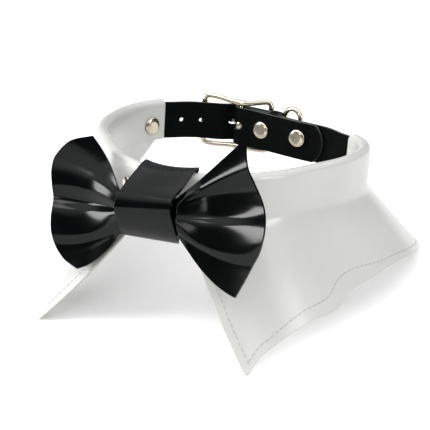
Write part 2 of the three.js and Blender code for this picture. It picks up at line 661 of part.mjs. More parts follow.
function addBuckle() {
  const loop = toSolid(bar(frameStations(), 8, true));
  const span = 2 * FRAME_RAIL[3].high;
  const centreBar = new THREE.CylinderGeometry(BAR.radius, BAR.radius, span, 14);
  centreBar.applyMatrix4(bandFrame(BAR.angle, BAR.out, BAND_MIDDLE));
  addPiece("buckle_frame", fromSolid(loop.add(toSolid(centreBar))), NICKEL);

  const middle = bandFrame(BAR.angle, BAR.out, BAND_MIDDLE);
  const curve = new THREE.CatmullRomCurve3(
    PRONG_RUN.map((row) => new THREE.Vector3(row.along, 0, row.out).applyMatrix4(middle)),
    false,
    "centripetal"
  );
  const upward = new THREE.Vector3().setFromMatrixColumn(middle, 1);
  const steps = PRONG_STEPS;
  const stations = [];
  for (let i = 0; i <= steps; i += 1) {
    const along = curve.getTangentAt(i / steps);
    const first = new THREE.Vector3().crossVectors(along, upward).normalize();
    stations.push({
      centre: curve.getPointAt(i / steps),
      first: first.multiplyScalar(PRONG_RADIUS),
      second: upward.clone().multiplyScalar(PRONG_RADIUS * 1.2),
    });
  }
  addPiece("buckle_prong", bar(stations, 7, false), NICKEL);
}

// Ring at the back and the strip that grips it
function addRing() {
  const ring = new THREE.TorusGeometry(RING.radius, RING.wire, 7, 24);
  ring.applyMatrix4(bandFrame(RING.angle, RING.out, RING.up));
  addPiece("ring", fromSolid(toSolid(ring)), NICKEL);

  const hole = RING.wire + 0.1;
  const wall = hole + TAB_THICKNESS;
  const wireUp = RING.up - RING.radius;
  const near = TAB_NEAR - RING.out;
  const shape = new THREE.Shape();
  shape.moveTo(near, TAB_BOTTOM - wireUp);
  shape.lineTo(near + 2 * TAB_THICKNESS, TAB_BOTTOM - wireUp);
  shape.lineTo(near + 2 * TAB_THICKNESS, -wall * 1.6);
  shape.lineTo(wall, -wall * 0.5);
  const arc = 8;
  for (let i = 0; i <= arc; i += 1) {
    const turn = (Math.PI * i) / arc;
    shape.lineTo(wall * Math.cos(turn), wall * Math.sin(turn));
  }
  shape.lineTo(Math.min(-wall, near), -wall * 0.5);
  const opening = new THREE.Path();
  opening.absarc(0, 0, hole, 0, 2 * Math.PI, true);
  shape.holes.push(opening);
  const tab = new THREE.ExtrudeGeometry(shape, { depth: TAB_WIDTH, bevelEnabled: false, curveSegments: 10 });
  tab.translate(0, 0, -TAB_WIDTH / 2);
  tab.rotateY(-Math.PI / 2);
  tab.applyMatrix4(bandFrame(RING.angle, RING.out, wireUp));
  const room = new THREE.TorusGeometry(RING.radius, RING.wire + GAP / 2, 8, 28);
  room.applyMatrix4(bandFrame(RING.angle, RING.out, RING.up));
  addPiece("ring_tab", fromSolid(toSolid(tab).subtract(toSolid(room))), STRAP_BLACK);
}

// Bow

function bowPoint(x, height, deep) {
  const lean = new THREE.Vector3(
    x,
    height * Math.sin(BOW_LEAN) - deep * Math.cos(BOW_LEAN),
    height * Math.cos(BOW_LEAN) + deep * Math.sin(BOW_LEAN)
  );
  lean.applyAxisAngle(new THREE.Vector3(0, 0, 1), BOW_YAW);
  lean.applyAxisAngle(new THREE.Vector3(0, 1, 0), BOW_ROLL);
  return lean.add(BOW_CENTRE).add(PLACE);
}

// Point of a wing: out 0 to 1 from the pinch to the outer edge, across 0 to 1 from low to high
function wingPoint(table, side, out, across, deepOffset) {
  const at = (column) => rowValue(table, column, across);
  const rootX = side * PINCH_HALF_WIDTH;
  const near = (1 - out) * (1 - 2 * out);
  const mid = 4 * out * (1 - out);
  const far = out * (2 * out - 1);
  const x = near * rootX + mid * at("midX") + far * at("endX");
  const height = near * (PINCH_SQUEEZE * at("root") + PINCH_RISE) + mid * at("midH") + far * at("endH");
  const upright = (1 - THREE.MathUtils.smoothstep(out, 0, PINCH_REACH)) * (PINCH_UPRIGHT * height - PINCH_SET_BACK);
  const deep = near * at("rootDeep") + mid * at("midDeep") + far * at("endDeep");
  return bowPoint(x, height, deep + upright + deepOffset);
}

function bowHalfThickness(out) {
  const bunched = 1 - THREE.MathUtils.smoothstep(out, 0, PINCH_LENGTH);
  return THREE.MathUtils.lerp(BOW_THICKNESS, PINCH_THICKNESS, bunched) / 2;
}

function addBow() {
  const front = [];
  const back = [];
  for (let c = -BOW_COLUMNS; c <= BOW_COLUMNS; c += 1) {
    const table = c < 0 ? LEFT_WING : RIGHT_WING;
    const side = c < 0 ? -1 : 1;
    const out = (Math.abs(c) - 1) / (BOW_COLUMNS - 1);
    front.push([]);
    back.push([]);
    for (let r = 0; r <= BOW_ROWS; r += 1) {
      const across = r / BOW_ROWS;
      if (c === 0) {
        const height = THREE.MathUtils.lerp(PINCH_LOW, PINCH_HIGH, across);
        const upright = PINCH_UPRIGHT * height - PINCH_SET_BACK;
        front[front.length - 1].push(bowPoint(0, height, upright + PINCH_THICKNESS / 2));
        back[back.length - 1].push(bowPoint(0, height, upright - PINCH_THICKNESS / 2));
      } else {
        front[front.length - 1].push(wingPoint(table, side, out, across, bowHalfThickness(out)));
        back[back.length - 1].push(wingPoint(table, side, out, across, -bowHalfThickness(out)));
      }
    }
  }
  addPiece("bow", shell(front, back), VINYL_BLACK);
}

// Woven strip and knot band

// Value of one column of a table that closes on itself, at a row place
function loopValue(table, column, place) {
  const count = table.length;
  const first = Math.floor(place);
  const at = (offset) => table[(first + offset + count) % count][column];
  return catmull(at(-1), at(0), at(1), at(2), place - first);
}

// Point across the strip: it follows the neck's curve at the back and the bow's roll at the front
function stripPoint(x, line, turn) {
  const flatness = THREE.MathUtils.smoothstep(BEND_START - line.x, 0, BEND_START - BEND_END);
  const y = line.x + ((1 - flatness) * x * x) / (2 * NECK_FRONT_CURVE);
  const centre = new THREE.Vector3(0, 0, BOW_CENTRE.z);
  return new THREE.Vector3(x, y, line.y)
    .sub(centre)
    .applyAxisAngle(new THREE.Vector3(0, 1, 0), BOW_ROLL * turn)
    .add(centre)
    .add(PLACE);
}

function stripSolid(places, extraWidth, near, far, loop) {
  const lines = places.map(
    (place) => new THREE.Vector2(loopValue(WOVEN_RUN, "y", place), loopValue(WOVEN_RUN, "z", place))
  );
  const count = lines.length;
  const front = [];
  const back = [];
  lines.forEach((line, i) => {
    const before = loop ? lines[(i + count - 1) % count] : lines[Math.max(i - 1, 0)];
    const after = loop ? lines[(i + 1) % count] : lines[Math.min(i + 1, count - 1)];
    const along = after.clone().sub(before).normalize();
    const outward = new THREE.Vector2(along.y, -along.x);
    const width = loopValue(WOVEN_RUN, "width", places[i]) + extraWidth;
    const turn = loopValue(WOVEN_RUN, "turn", places[i]);
    front.push([]);
    back.push([]);
    for (let c = 0; c <= STRIP_COLUMNS; c += 1) {
      const x = width * (c / STRIP_COLUMNS - 1 / 2);
      front[i].push(stripPoint(x, line.clone().addScaledVector(outward, far), turn));
      back[i].push(stripPoint(x, line.clone().addScaledVector(outward, near), turn));
    }
  });
  return shell(front, back, loop);
}

function addKnot() {
  const loopPlaces = [];
  for (let i = 0; i < WOVEN_STEPS; i += 1) {
    loopPlaces.push((i * WOVEN_RUN.length) / WOVEN_STEPS);
  }
  addPiece("woven_strip", stripSolid(loopPlaces, 0, -WOVEN_THICKNESS, 0, true), WEAVE_BLACK);
  const knotPlaces = [];
  for (let i = 0; i <= KNOT_STEPS; i += 1) {
    knotPlaces.push(THREE.MathUtils.lerp(KNOT_FROM, KNOT_TO, i / KNOT_STEPS));
  }
  const knot = stripSolid(knotPlaces, KNOT_EXTRA_WIDTH, KNOT_GAP, KNOT_GAP + KNOT_THICKNESS, false);
  addPiece("knot_band", knot, VINYL_BLACK);
}

// Snap
function addSnap() {
  const profile = [
    new THREE.Vector2(0, 0),
    new THREE.Vector2(SNAP.radius, 0),
    new THREE.Vector2(SNAP.radius, SNAP.high * 0.3),
    new THREE.Vector2(SNAP.radius * 0.75, SNAP.high * 0.8),
    new THREE.Vector2(0, SNAP.high),
  ];
  const geometry = new THREE.LatheGeometry(profile, 18);
  const snapAngle = THREE.MathUtils.radToDeg(Math.atan2(SNAP.x, -SNAP.y));
  geometry.rotateX(Math.PI / 2);
  geometry.applyMatrix4(bandFrame(snapAngle, ROLL_CENTRE_OUT + ROLL_RADIUS + SHEET_THICKNESS / 2 + GAP, -9));
  addPiece("snap", fromSolid(toSolid(geometry)), NICKEL);
}

addCollar();
addStraps();
addKeeper();
addRivets();
addBuckle();
addRing();
addBow();
addKnot();
addSnap();

export default part;
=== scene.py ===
"""Bow tie choker: a white folded collar on a black buckled strap, with a pleated black bow.

Sizes in the tables are millimetres in the standing choker's own frame: +X to the right of the
bow as seen from the front, -Y the front, +Z up. Angles are degrees round the neck from the front
towards +X. Lengths become metres as each piece is finished.
"""

import math

import bmesh
import bpy
from bpy.props import FloatProperty, FloatVectorProperty, IntProperty, PointerProperty
from bpy.types import Operator, Panel, PropertyGroup
from mathutils import Matrix, Vector


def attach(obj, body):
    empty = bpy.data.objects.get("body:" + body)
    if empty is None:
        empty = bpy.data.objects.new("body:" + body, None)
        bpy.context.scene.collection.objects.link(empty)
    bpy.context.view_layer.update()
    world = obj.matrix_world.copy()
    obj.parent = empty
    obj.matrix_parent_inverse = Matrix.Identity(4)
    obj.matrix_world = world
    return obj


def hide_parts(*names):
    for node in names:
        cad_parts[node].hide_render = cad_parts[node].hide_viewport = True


bl_info = {
    "name": "Bow tie choker",
    "version": (1, 0, 0),
    "blender": (4, 5, 0),
    "location": "View3D > Sidebar > Choker",
    "description": "Builds a folded white collar with a black bow and a buckled strap",
    "category": "Object",
}

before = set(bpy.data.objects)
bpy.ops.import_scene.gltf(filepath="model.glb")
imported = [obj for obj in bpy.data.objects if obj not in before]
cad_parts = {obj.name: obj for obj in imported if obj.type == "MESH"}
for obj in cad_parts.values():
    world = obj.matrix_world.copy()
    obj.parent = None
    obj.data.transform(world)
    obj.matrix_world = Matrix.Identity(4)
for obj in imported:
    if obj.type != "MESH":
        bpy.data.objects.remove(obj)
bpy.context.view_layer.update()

MM = 0.001

# Neck opening and the way the band stands
NECK_RADII = [66.5, 62, 57, 55, 60, 65, 57, 48, 48.5, 55.5, 61.5, 61.5, 60, 59, 57.5, 62.5]
NECK_STEP = 360 / len(NECK_RADII)
NECK_HEIGHT = 65.1
NECK_TILT = math.radians(8.7)
PLACE = Vector((-2.55, 19.5, 0))
STAND = Matrix.Translation(PLACE + Vector((0, 0, NECK_HEIGHT))) @ Matrix.Rotation(-NECK_TILT, 4, "X")

BAND_HEIGHT = 20
BAND_MIDDLE = -BAND_HEIGHT / 2

# Collar sheet
COLLAR_END = 123.6
ROLL_RADIUS = 2.55
ROLL_CENTRE_OUT = 3.15
ROLL_CENTRE_UP = -1.3
HUG_BOTTOM_OUT = 5.7
HUG_BOTTOM_UP = -15
FLARE_BLEND = 10
BAND_OUT = 0.6
RIGHT_SHEAR_POWER = 0.72
LEFT_SHEAR_POWER = 0.93

# Flap cut: angle at the hem, length below the band and lean from the vertical, right then left
FLAP_CUT = {
    "angle": (29.2, 33, 37, 42, 49, 58, 66, 77, 88, 100, 112, 120.6),
    "length": (69.3, 61, 57, 53, 49.2, 47.5, 41.8, 39.5, 38.5, 41, 46.5, 52.5),
    "lean": (38, 39, 39.8, 40, 40, 40, 40, 40, 40, 40, 39.5, 39.5),
    "left_length": (69, 63, 59.5, 54, 49.2, 46, 42.5, 40, 38.5, 41, 46.5, 52.5),
    "left_lean": (38.3, 34.5, 31, 28, 26, 26, 27, 29, 32, 35, 38, 39.5),
}

# Faces over one half of the sheet and its cut in millimetres, then both halves laid flat in metres
COLLAR_GRID = (120, 100)
COLLAR_CUT = (165, 110)

# Shares of the way down the sheet, from the band's lower edge to the hem
COLLAR_STAGES = (("band", 0.1), ("roll", 0.3), ("hug", 0.42), ("flap", 1.0))
FLAP_START = COLLAR_STAGES[2][1]

# Least height of the sheet's middle above the floor
FLOOR_GAP = 0.62

# Distance of the hem's seam from the cut edge, front to end, as shares of the stitch inset
HEM_INSET = (0.75, 1.0, 1.3, 1.6, 2.0, 1.9, 1.2, 1.0, 0.95, 0.9, 0.85)
SEAM_TOP = 0.32
FRONT_SEAM_STEPS = 60
HEM_SEAM_STEPS = 160

# Stitch: length as a share of the pitch, thickness, and shares of the thickness
STITCH = {"long": 0.34, "thick": 0.28, "flat": 0.75, "proud": 0.15}

# Straps: middle line, as angle and distance out from the neck radius
TONGUE_RUN = {
    "angle": (251, 241, 236, 230, 220, 211, 206, 202.5, 199.5, 196, 190, 185.5, 181, 176, 171.3),
    "out": (3, 3, 2.4, 1.1, 1.1, 1.2, 2.3, 4.1, 5.5, 6, 5.9, 6.3, 6.5, 6.2, 5.7),
}
BUCKLE_RUN = {
    "angle": (140.5, 148, 155, 162, 168, 174, 181, 188, 192.5, 196, 198, 198.6, 198, 196, 192.5, 188,
              181, 175, 171, 166.5, 162, 150, 141, 136, 131, 127, 122, 109),
    "out": (1.1, 1.1, 1.1, 1.1, 0.9, 0.5, 0.5, 0.6, -0.1, -0.3, 0.5, 1.9, 3.3, 4.1, 3.8, 3.1,
            3.2, 3.6, 3.4, 3.1, 3, 3, 2.9, 2.4, 1.6, 1.9, 2.8, 3),
}
HOLE_ANGLES = (226.6, 216.6)
HOLE_RADIUS = 1.2
PRONG_SLOT = {"angle": 200.7, "half_length": 2.2, "half_height": 1.4}
FOLD_SLOT = {"half_length": 6.4, "half_height": 2.7}
END_ROUND = 13
END_REACH = 14
STRAP_FACE = 0.8
STRAP_ROWS = 26
STRAP_GAP = 0.3
STRAP_MATERIALS = ("Strap leatherette", "Strap cut edge")

# Hardware
BAR = {"angle": 196, "out": 1.9, "radius": 1.0}
RIVETS = {
    "rivet_inner_1": {"angle": 181.3, "up": -9.3, "start": -0.6, "finish": 4.35},
    "rivet_inner_2": {"angle": 154.5, "up": -8.7, "start": 0.0, "finish": 4.1},
    "rivet_left": {"angle": 244.3, "up": -11.5, "start": -0.4, "finish": 3.9},
    "rivet_right": {"angle": 115.7, "up": -11.5, "start": -0.65, "finish": 3.9},
}
RIVET_INNER_CAP = {
    "radius": (0, 2.2, 3.3, 3.75, 4.2, 4.5, 4.68, 4.66, 4.5, 1.5),
    "height": (-1.25, -1.24, -1.18, -1.02, -0.86, -0.62, -0.32, -0.08, 0, 0),
}
RIVET_OUTER_CAP = {
    "radius": (1.5, 3.4, 3.58, 3.6, 3.45, 2.9, 1.6, 0),
    "height": (0, 0, 0.1, 0.3, 0.48, 0.6, 0.68, 0.7),
}
FRAME_RAIL = {
    "angle": (213.4, 208.5, 202.5, 196, 190, 185.5, 181.7),
    "out": (4.7, 3.3, 2.1, 1.9, 3.8, 6.8, 9.5),
    "high": (13.2, 13.3, 12.5, 12.1, 12.7, 13.3, 13.3),
}
FRAME_LEFT_END = (215, 5, 10.5)
FRAME_RIGHT_END = (180.2, 10.4, 10.5)
RAIL_RADIUS = 1.4
BOSS_RADIUS = 1.8
BOSS_REACH = (1, 5)
END_BAR_HALF_WIDTH = 1.9
END_BAR_REACH = 2
END_BAR_FADE = 3
CLOSED_END = 0.001
PRONG_RADIUS = 0.85
PRONG_HALF_WIDTH = 1.2 * PRONG_RADIUS
PRONG_CURL_HALF_WIDTH = 2.3
PRONG_NARROWING = (0.28, 0.5)
PRONG_TIP = 0.02
PRONG_RUN = {
    "along": (0.5, -1.4, -2.05, -1.4, 0, 1.5, 2.6, 4.2, 6, 9, 13, 17.5, 21.2, 23.2),
    "out": (2, 1.5, 0, -1.5, -2.05, -1.4, 0.3, 2.6, 4.1, 4, 3.1, 1.9, 0.8, 0.1),
}
RING = {"angle": 164, "out": 6.9, "up": -0.7, "radius": 4.9, "wire": 1.35}
KEEPER = {"angle": 173.8, "width": 5.0, "thickness": 0.8, "low": 2.3, "high": 7.3, "round": 0.28}
TAB = {"width": 4.5, "thickness": 0.8, "bottom": -21.0, "near": 4.4, "gap": 0.12}
SNAP = {"angle": -15.3, "up": -9.0, "radius": 3.2, "high": 1.6, "off": 0.9}

# Bow: it leans back and its right side stands higher
BOW_CENTRE = Vector((0, -83, 60))
BOW_LEAN = math.radians(28)
BOW_ROLL = math.radians(-11.7)
BOW_YAW = math.radians(-2.2)
BOW_TURN = Matrix.Rotation(BOW_ROLL, 3, "Y") @ Matrix.Rotation(BOW_YAW, 3, "Z")
BOW_GRID = (170, 140)
BOW_CUT = (110, 78)

# Bow's middle, drawn together under the knot. Where the sides differ, 1 is the right, -1 the left
PINCH_SHARE = 0.16
PINCH_HALF_WIDTH = 15
PINCH_SQUEEZE = 0.6
PINCH_RISE = 1.6
PINCH_SET_BACK = 3
PINCH_EDGE_BACK = -1
PINCH_EDGE_UPRIGHT = 0.1
PINCH_EDGE = {1: (1.8, 4.3), -1: (4.4, 7)}
PINCH_UPRIGHT = 0.53
PINCH_REACH = {1: 0.4, -1: 0.52}

# Pleat lines of the wings from the lower edge to the upper edge: height and depth under the
# knot, then place half way out and at the outer edge
RIGHT_WING = {
    "root": (-7, -6.4, -5.6, -4.4, -2.4, -0.2, 1.4, 3.2, 4.9, 6.8, 8.8),
    "root_deep": (0, 0.4, 0.8, 1.6, 2.3, 2.5, 2, 1.8, 1.7, 1.4, 0.5),
    "mid_x": (29.2, 31, 32.8, 34, 35, 35.2, 35, 33.4, 31.4, 30, 29),
    "mid_h": (-23.3, -19.6, -15.2, -12.4, -7, -1.8, 2, 9.2, 12, 15.5, 21.2),
    "mid_deep": (-0.7, -0.9, -0.8, 0.4, 0.6, 0.2, -1.2, -1, -0.4, 1.3, -0.6),
    "end_x": (44.5, 48.6, 52.2, 55.8, 57.8, 58.6, 57.2, 55.1, 52.1, 49.2, 45.9),
    "end_h": (-32, -24.8, -18.6, -13.4, -8, -2.4, 4.2, 9.8, 15.5, 23.5, 34.9),
    "end_deep": (0.5, 0.6, 1.2, 2.8, 3.9, 3.9, 1.9, 1.6, 1.8, 4.2, 0.6),
}
LEFT_WING = {
    "root": (-7.4, -6.2, -4.6, -2.8, -0.6, 1.8, 3.8, 5.6, 7.2, 8.8, 10.2, 11.6),
    "root_deep": (0.2, 0.5, 0.8, 1.6, 2.1, 2.2, 1.6, 1.7, 1.6, 1.2, 0.7, 0.3),
    "mid_x": (-26.4, -29.4, -31.6, -33, -33.6, -33.8, -33.8, -33.4, -32.4, -30.8, -28.2, -24.4),
    "mid_h": (-18.8, -15.4, -11.8, -8.2, -3.2, 1.6, 6, 11.4, 16, 19.6, 23.4, 25.2),
    "mid_deep": (-0.3, -0.5, -0.6, 0.9, 1.1, 0.6, -0.9, 1.7, 1.8, 0.8, -0.3, -0.8),
    "end_x": (-37.7, -44.9, -49.7, -51.5, -51.7, -51.4, -52, -51.8, -52.1, -51, -44.6, -33.3),
    "end_h": (-24.6, -20.7, -15.2, -8.6, -2, 3, 7.6, 14, 20.5, 27, 33.9, 36.3),
    "end_deep": (0.4, 0.5, 0.9, 2.6, 3.4, 3.2, 1.9, 3.8, 4.2, 3, 1, 0),
}

# Woven loop round the bow and the collar's front: line round the middle, width and share of roll
WOVEN_RUN = {
    "y": (-69.3, -74.5, -81, -86, -88.6, -88.2, -86.6, -83.4, -77.5, -70, -65.6, -64.3, -63.6, -63, -64.4),
    "z": (78.6, 77.5, 74.6, 71.6, 67, 60, 54.5, 51, 50.4, 52.2, 53.4, 57, 65, 73, 77.3),
    "width": (26, 26.5, 28, 28, 28, 28, 28, 26, 20, 19, 19, 20, 23, 25, 26),
    "side": (2, 2.2, 1.8, 0.8, 0, 0, 0, 0, 0, 0, 0, 0, 0, 0, 1),
    "turn": (0.2, 0.3, 0.5, 0.75, 0.9, 0.8, 0.5, 0.3, 0.1, 0, 0, 0, 0, 0, 0.1),
}
WOVEN_THICKNESS = 0.9
WOVEN_CUT = (26, 92)
KNOT_THICKNESS = 1.0
KNOT_CUT = (29, 50)
KNOT_OUT = 0.8
KNOT_FROM = 0.7
KNOT_TO = 8.6
KNOT_EXTRA_WIDTH = 1.5
KNOT_TOP_INSET = 3.4
KNOT_LEFT_INSET = 1.5
KNOT_INSET_END = 3.4
NECK_FRONT_CURVE = 28
BEND_START = -72
BEND_END = -86

# Studio: lights in metres and watts, brightness of the sky by height, and the camera
LIGHTS = {
    "Left light": {"place": (-1.25, -0.7, 0.5), "size": (0.4, 0.7), "power": 17},
    "Front light": {"place": (-0.3, -1.4, 0.45), "size": (0.25, 0.5), "power": 2},
    "Top light": {"place": (-0.52, -0.62, 1.15), "size": (0.45, 0.45), "power": 3.6},
    "Right light": {"place": (1.3, -0.1, 0.55), "size": (0.2, 0.6), "power": 4.5},
}
LIGHT_TARGET = Vector((0, 0, 0.05))
SKY = {"height": (0.0, 0.44, 0.62, 0.76, 1.0), "level": (0.05, 0.035, 1.5, 1.7, 1.3)}
SKY_BLUE = 1.01
FLOOR_SIZE = 3
CAMERA_PLACE = Vector((0.21027, -0.45744, 0.30701))
CAMERA_RIGHT = Vector((0.90832, 0.418275, 0))
CAMERA_BACK = Vector((0.366599, -0.796103, 0.481483))
CAMERA_LENS = 96.94
SENSOR_WIDTH = 36


# Curves through tables


def smoothstep(value, low, high):
    share = min(max((value - low) / (high - low), 0), 1)
    return share * share * (3 - 2 * share)


def mix(a, b, share):
    return a + (b - a) * share


def eased(a, b, slope_a, slope_b, t):
    """Value between a and b that leaves and arrives with the given slopes."""
    return ((2 * t**3 - 3 * t**2 + 1) * a + (t**3 - 2 * t**2 + t) * slope_a
            + (3 * t**2 - 2 * t**3) * b + (t**3 - t**2) * slope_b)


def catmull(a, b, c, d, t):
    return eased(b, c, (c - a) / 2, (d - b) / 2, t)


def loop_value(values, place):
    """Smooth value of a column that closes on itself, at a row place."""
    count = len(values)
    first = math.floor(place)
    picked = [values[(first + k) % count] for k in (-1, 0, 1, 2)]
    return catmull(*picked, place - first)


def row_value(values, share):
    """Smooth value of a column at a share 0 to 1 of its length."""
    last = len(values) - 1
    place = min(max(share, 0), 1) * last
    first = min(int(place), last - 1)
    picked = [values[min(max(first + k, 0), last)] for k in (-1, 0, 1, 2)]
    return catmull(*picked, place - first)


def angle_value(table, column, angle):
    """Value of a column at an angle, eased between the rows by the rows' own slopes."""
    angles = table["angle"]
    values = table[column]
    row = 1
    while row < len(angles) - 1 and angles[row] < angle:
        row += 1
    span = angles[row] - angles[row - 1]
    share = min(max((angle - angles[row - 1]) / span, 0), 1)

    def slope(k):
        low, high = max(k - 1, 0), min(k + 1, len(angles) - 1)
        return (values[high] - values[low]) / (angles[high] - angles[low]) * span

    return eased(values[row - 1], values[row], slope(row - 1), slope(row), share)


# Places on the band


def neck_radius(angle):
    return loop_value(NECK_RADII, (angle % 360) / NECK_STEP)


def band_point(angle, out, up):
    turn = math.radians(angle)
    radius = neck_radius(angle) + out
    return STAND @ Vector((radius * math.sin(turn), -radius * math.cos(turn), up))


def band_frame(angle, out, up):
    """Place on the band with its own axes: x along the band, y up, z outwards."""
    along = (band_point(angle + 1, out, up) - band_point(angle - 1, out, up)).normalized()
    upward = (STAND.to_3x3() @ Vector((0, 0, 1))).normalized()
    outward = along.cross(upward).normalized()
    turned = Matrix((along, upward, outward)).transposed().to_4x4()
    return Matrix.Translation(band_point(angle, out, up)) @ turned


# Making pieces


def flat_cut(columns, rows):
    """Unit sheet from 0 to 1 both ways, with a UV map."""
    bm = bmesh.new()
    bm.loops.layers.uv.new("UVMap")
    bmesh.ops.create_grid(bm, x_segments=columns, y_segments=rows, size=0.5, calc_uvs=True)
    bmesh.ops.translate(bm, verts=bm.verts, vec=(0.5, 0.5, 0))
    return bm


def lay(bm, place, size=(1, 1)):
    """Moves each point of a flat cut to its place. The UV map keeps the flat cut, in metres."""
    uv_map = bm.loops.layers.uv.verify()
    for face in bm.faces:
        for loop in face.loops:
            loop[uv_map].uv = (loop.vert.co.x * size[0] * MM, loop.vert.co.y * size[1] * MM)
    for vert in bm.verts:
        vert.co = place(vert.co.x, vert.co.y)
    return bm


def close_seams(bm):
    bmesh.ops.remove_doubles(bm, verts=bm.verts, dist=1e-4)
    bmesh.ops.dissolve_degenerate(bm, edges=bm.edges, dist=1e-5)
    bmesh.ops.recalc_face_normals(bm, faces=bm.faces)
    return bm


def tube(line, sides, steps, closed=False):
    """Round bar along a line. line(share) gives the centre and two half-axes at a share 0 to 1."""

    def place(x, y):
        centre, first, second = line(y % 1 if closed else y)
        turn = 2 * math.pi * x
        return centre + first * math.cos(turn) + second * math.sin(turn)

    return close_seams(lay(flat_cut(sides, steps), place))


def lathe(profile, steps=48):
    """Closed round piece about Z from a profile of (radius, height) points."""
    bm = bmesh.new()
    bm.loops.layers.uv.new("UVMap")
    verts = [bm.verts.new((radius, 0, height)) for radius, height in profile]
    edges = [bm.edges.new(pair) for pair in zip(verts, verts[1:])]
    bmesh.ops.spin(bm, geom=verts + edges, cent=(0, 0, 0), axis=(0, 0, 1), dvec=(0, 0, 0),
                   angle=2 * math.pi, steps=steps, use_merge=True, use_duplicate=False)
    return close_seams(bm)


def finish_piece(name, bm, materials, nodes=()):
    """Turns a millimetre bmesh and material names into a piece in metres that rides on the choker."""
    bmesh.ops.scale(bm, verts=bm.verts, vec=(MM, MM, MM))
    for face in bm.faces:
        face.smooth = True
    mesh = bpy.data.meshes.new(name)
    bm.to_mesh(mesh)
    bm.free()
    for material in materials:
        mesh.materials.append(material_named(material))
    piece = bpy.data.objects.new(name, mesh)
    bpy.context.scene.collection.objects.link(piece)
    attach(piece, "root")
    if nodes:
        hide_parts(*nodes)
    return piece


def thicken(piece, thickness, edge_round, segments=2, rim_slot=0):
    """Gives a sheet its thickness in mm, with rounded cut edges."""
    wall = piece.modifiers.new("Thickness", "SOLIDIFY")
    wall.thickness = thickness * MM
    wall.offset = 0
    wall.use_even_offset = True
    wall.material_offset_rim = rim_slot
    edge = piece.modifiers.new("Cut edge", "BEVEL")
    edge.width = edge_round * MM
    edge.segments = segments
    edge.limit_method = "ANGLE"
    edge.angle_limit = math.radians(50)
    edge.harden_normals = True
    return piece


# Settings


class ChokerCollarSettings(PropertyGroup):
    thickness: FloatProperty(
        name="Sheet thickness", description="Thickness of the white vinyl in millimetres",
        default=1.2, min=0.6, max=3.0)
    stitch_length: FloatProperty(
        name="Stitch length", description="Distance from stitch to stitch in millimetres",
        default=2.9, min=1.0, max=6.0)
    stitch_inset: FloatProperty(
        name="Stitch inset", description="Distance of the stitching from the cut edge in millimetres",
        default=4.0, min=1.0, max=10.0)
    colour: FloatVectorProperty(
        name="Vinyl colour", description="Colour of the white vinyl", subtype="COLOR",
        size=3, min=0, max=1, default=(0.5, 0.5, 0.482))
    thread: FloatVectorProperty(
        name="Thread colour", description="Colour of the sewing thread", subtype="COLOR",
        size=3, min=0, max=1, default=(0.43, 0.425, 0.395))


class ChokerStrapSettings(PropertyGroup):
    thickness: FloatProperty(
        name="Strap thickness", description="Thickness of the straps in millimetres",
        default=1.6, min=0.8, max=3.0)
    colour: FloatVectorProperty(
        name="Strap colour", description="Colour of the strap's faces", subtype="COLOR",
        size=3, min=0, max=1, default=(0.0003, 0.0008, 0.0008))
    edge_colour: FloatVectorProperty(
        name="Cut edge colour", description="Colour of the strap's cut edges", subtype="COLOR",
        size=3, min=0, max=1, default=(0.05, 0.056, 0.058))


class ChokerBowSettings(PropertyGroup):
    thickness: FloatProperty(
        name="Bow thickness", description="Thickness of the bow's vinyl in millimetres",
        default=1.1, min=0.5, max=3.0)
    colour: FloatVectorProperty(
        name="Bow colour", description="Colour of the glossy black vinyl", subtype="COLOR",
        size=3, min=0, max=1, default=(0.0008, 0.0012, 0.0012))
    weave_colour: FloatVectorProperty(
        name="Weave colour", description="Colour of the woven strip", subtype="COLOR",
        size=3, min=0, max=1, default=(0.006, 0.0068, 0.008))


class ChokerHardwareSettings(PropertyGroup):
    nickel: FloatVectorProperty(
        name="Nickel colour", description="Colour of the plated hardware", subtype="COLOR",
        size=3, min=0, max=1, default=(0.6, 0.54, 0.42))
    sides: IntProperty(
        name="Bar sides", description="Faces round each metal bar", default=20, min=8, max=48)


class ChokerStageSettings(PropertyGroup):
    floor_colour: FloatVectorProperty(
        name="Floor colour", description="Colour of the plain floor", subtype="COLOR",
        size=3, min=0, max=1, default=(0.94, 0.94, 0.94))
    light: FloatProperty(
        name="Light", description="Strength of the soft lights", default=1.1, min=0.1, max=5.0)


# Materials


def feed(tree, node, inputs):
    """Sets a node's inputs from values, or links them from sockets."""
    for key, value in inputs.items():
        if isinstance(value, bpy.types.NodeSocket):
            tree.links.new(value, node.inputs[key])
        else:
            node.inputs[key].default_value = value


def add_node(tree, kind, place, inputs=None, **settings):
    made = tree.nodes.new(kind)
    made.location = place
    for key, value in settings.items():
        setattr(made, key, value)
    feed(tree, made, inputs or {})
    return made


def new_group(name, inputs, output):
    """Node group that starts from a vector and from named numbers and ends in one number."""
    group = bpy.data.node_groups.new(name, "ShaderNodeTree")
    group.interface.new_socket("Vector", in_out="INPUT", socket_type="NodeSocketVector")
    for label, default in inputs.items():
        socket = group.interface.new_socket(label, in_out="INPUT", socket_type="NodeSocketFloat")
        socket.default_value = default
    group.interface.new_socket(output, in_out="OUTPUT", socket_type="NodeSocketFloat")
    source = add_node(group, "NodeGroupInput", (-800, 0))
    result = add_node(group, "NodeGroupOutput", (600, 0))
    return group, source.outputs, result


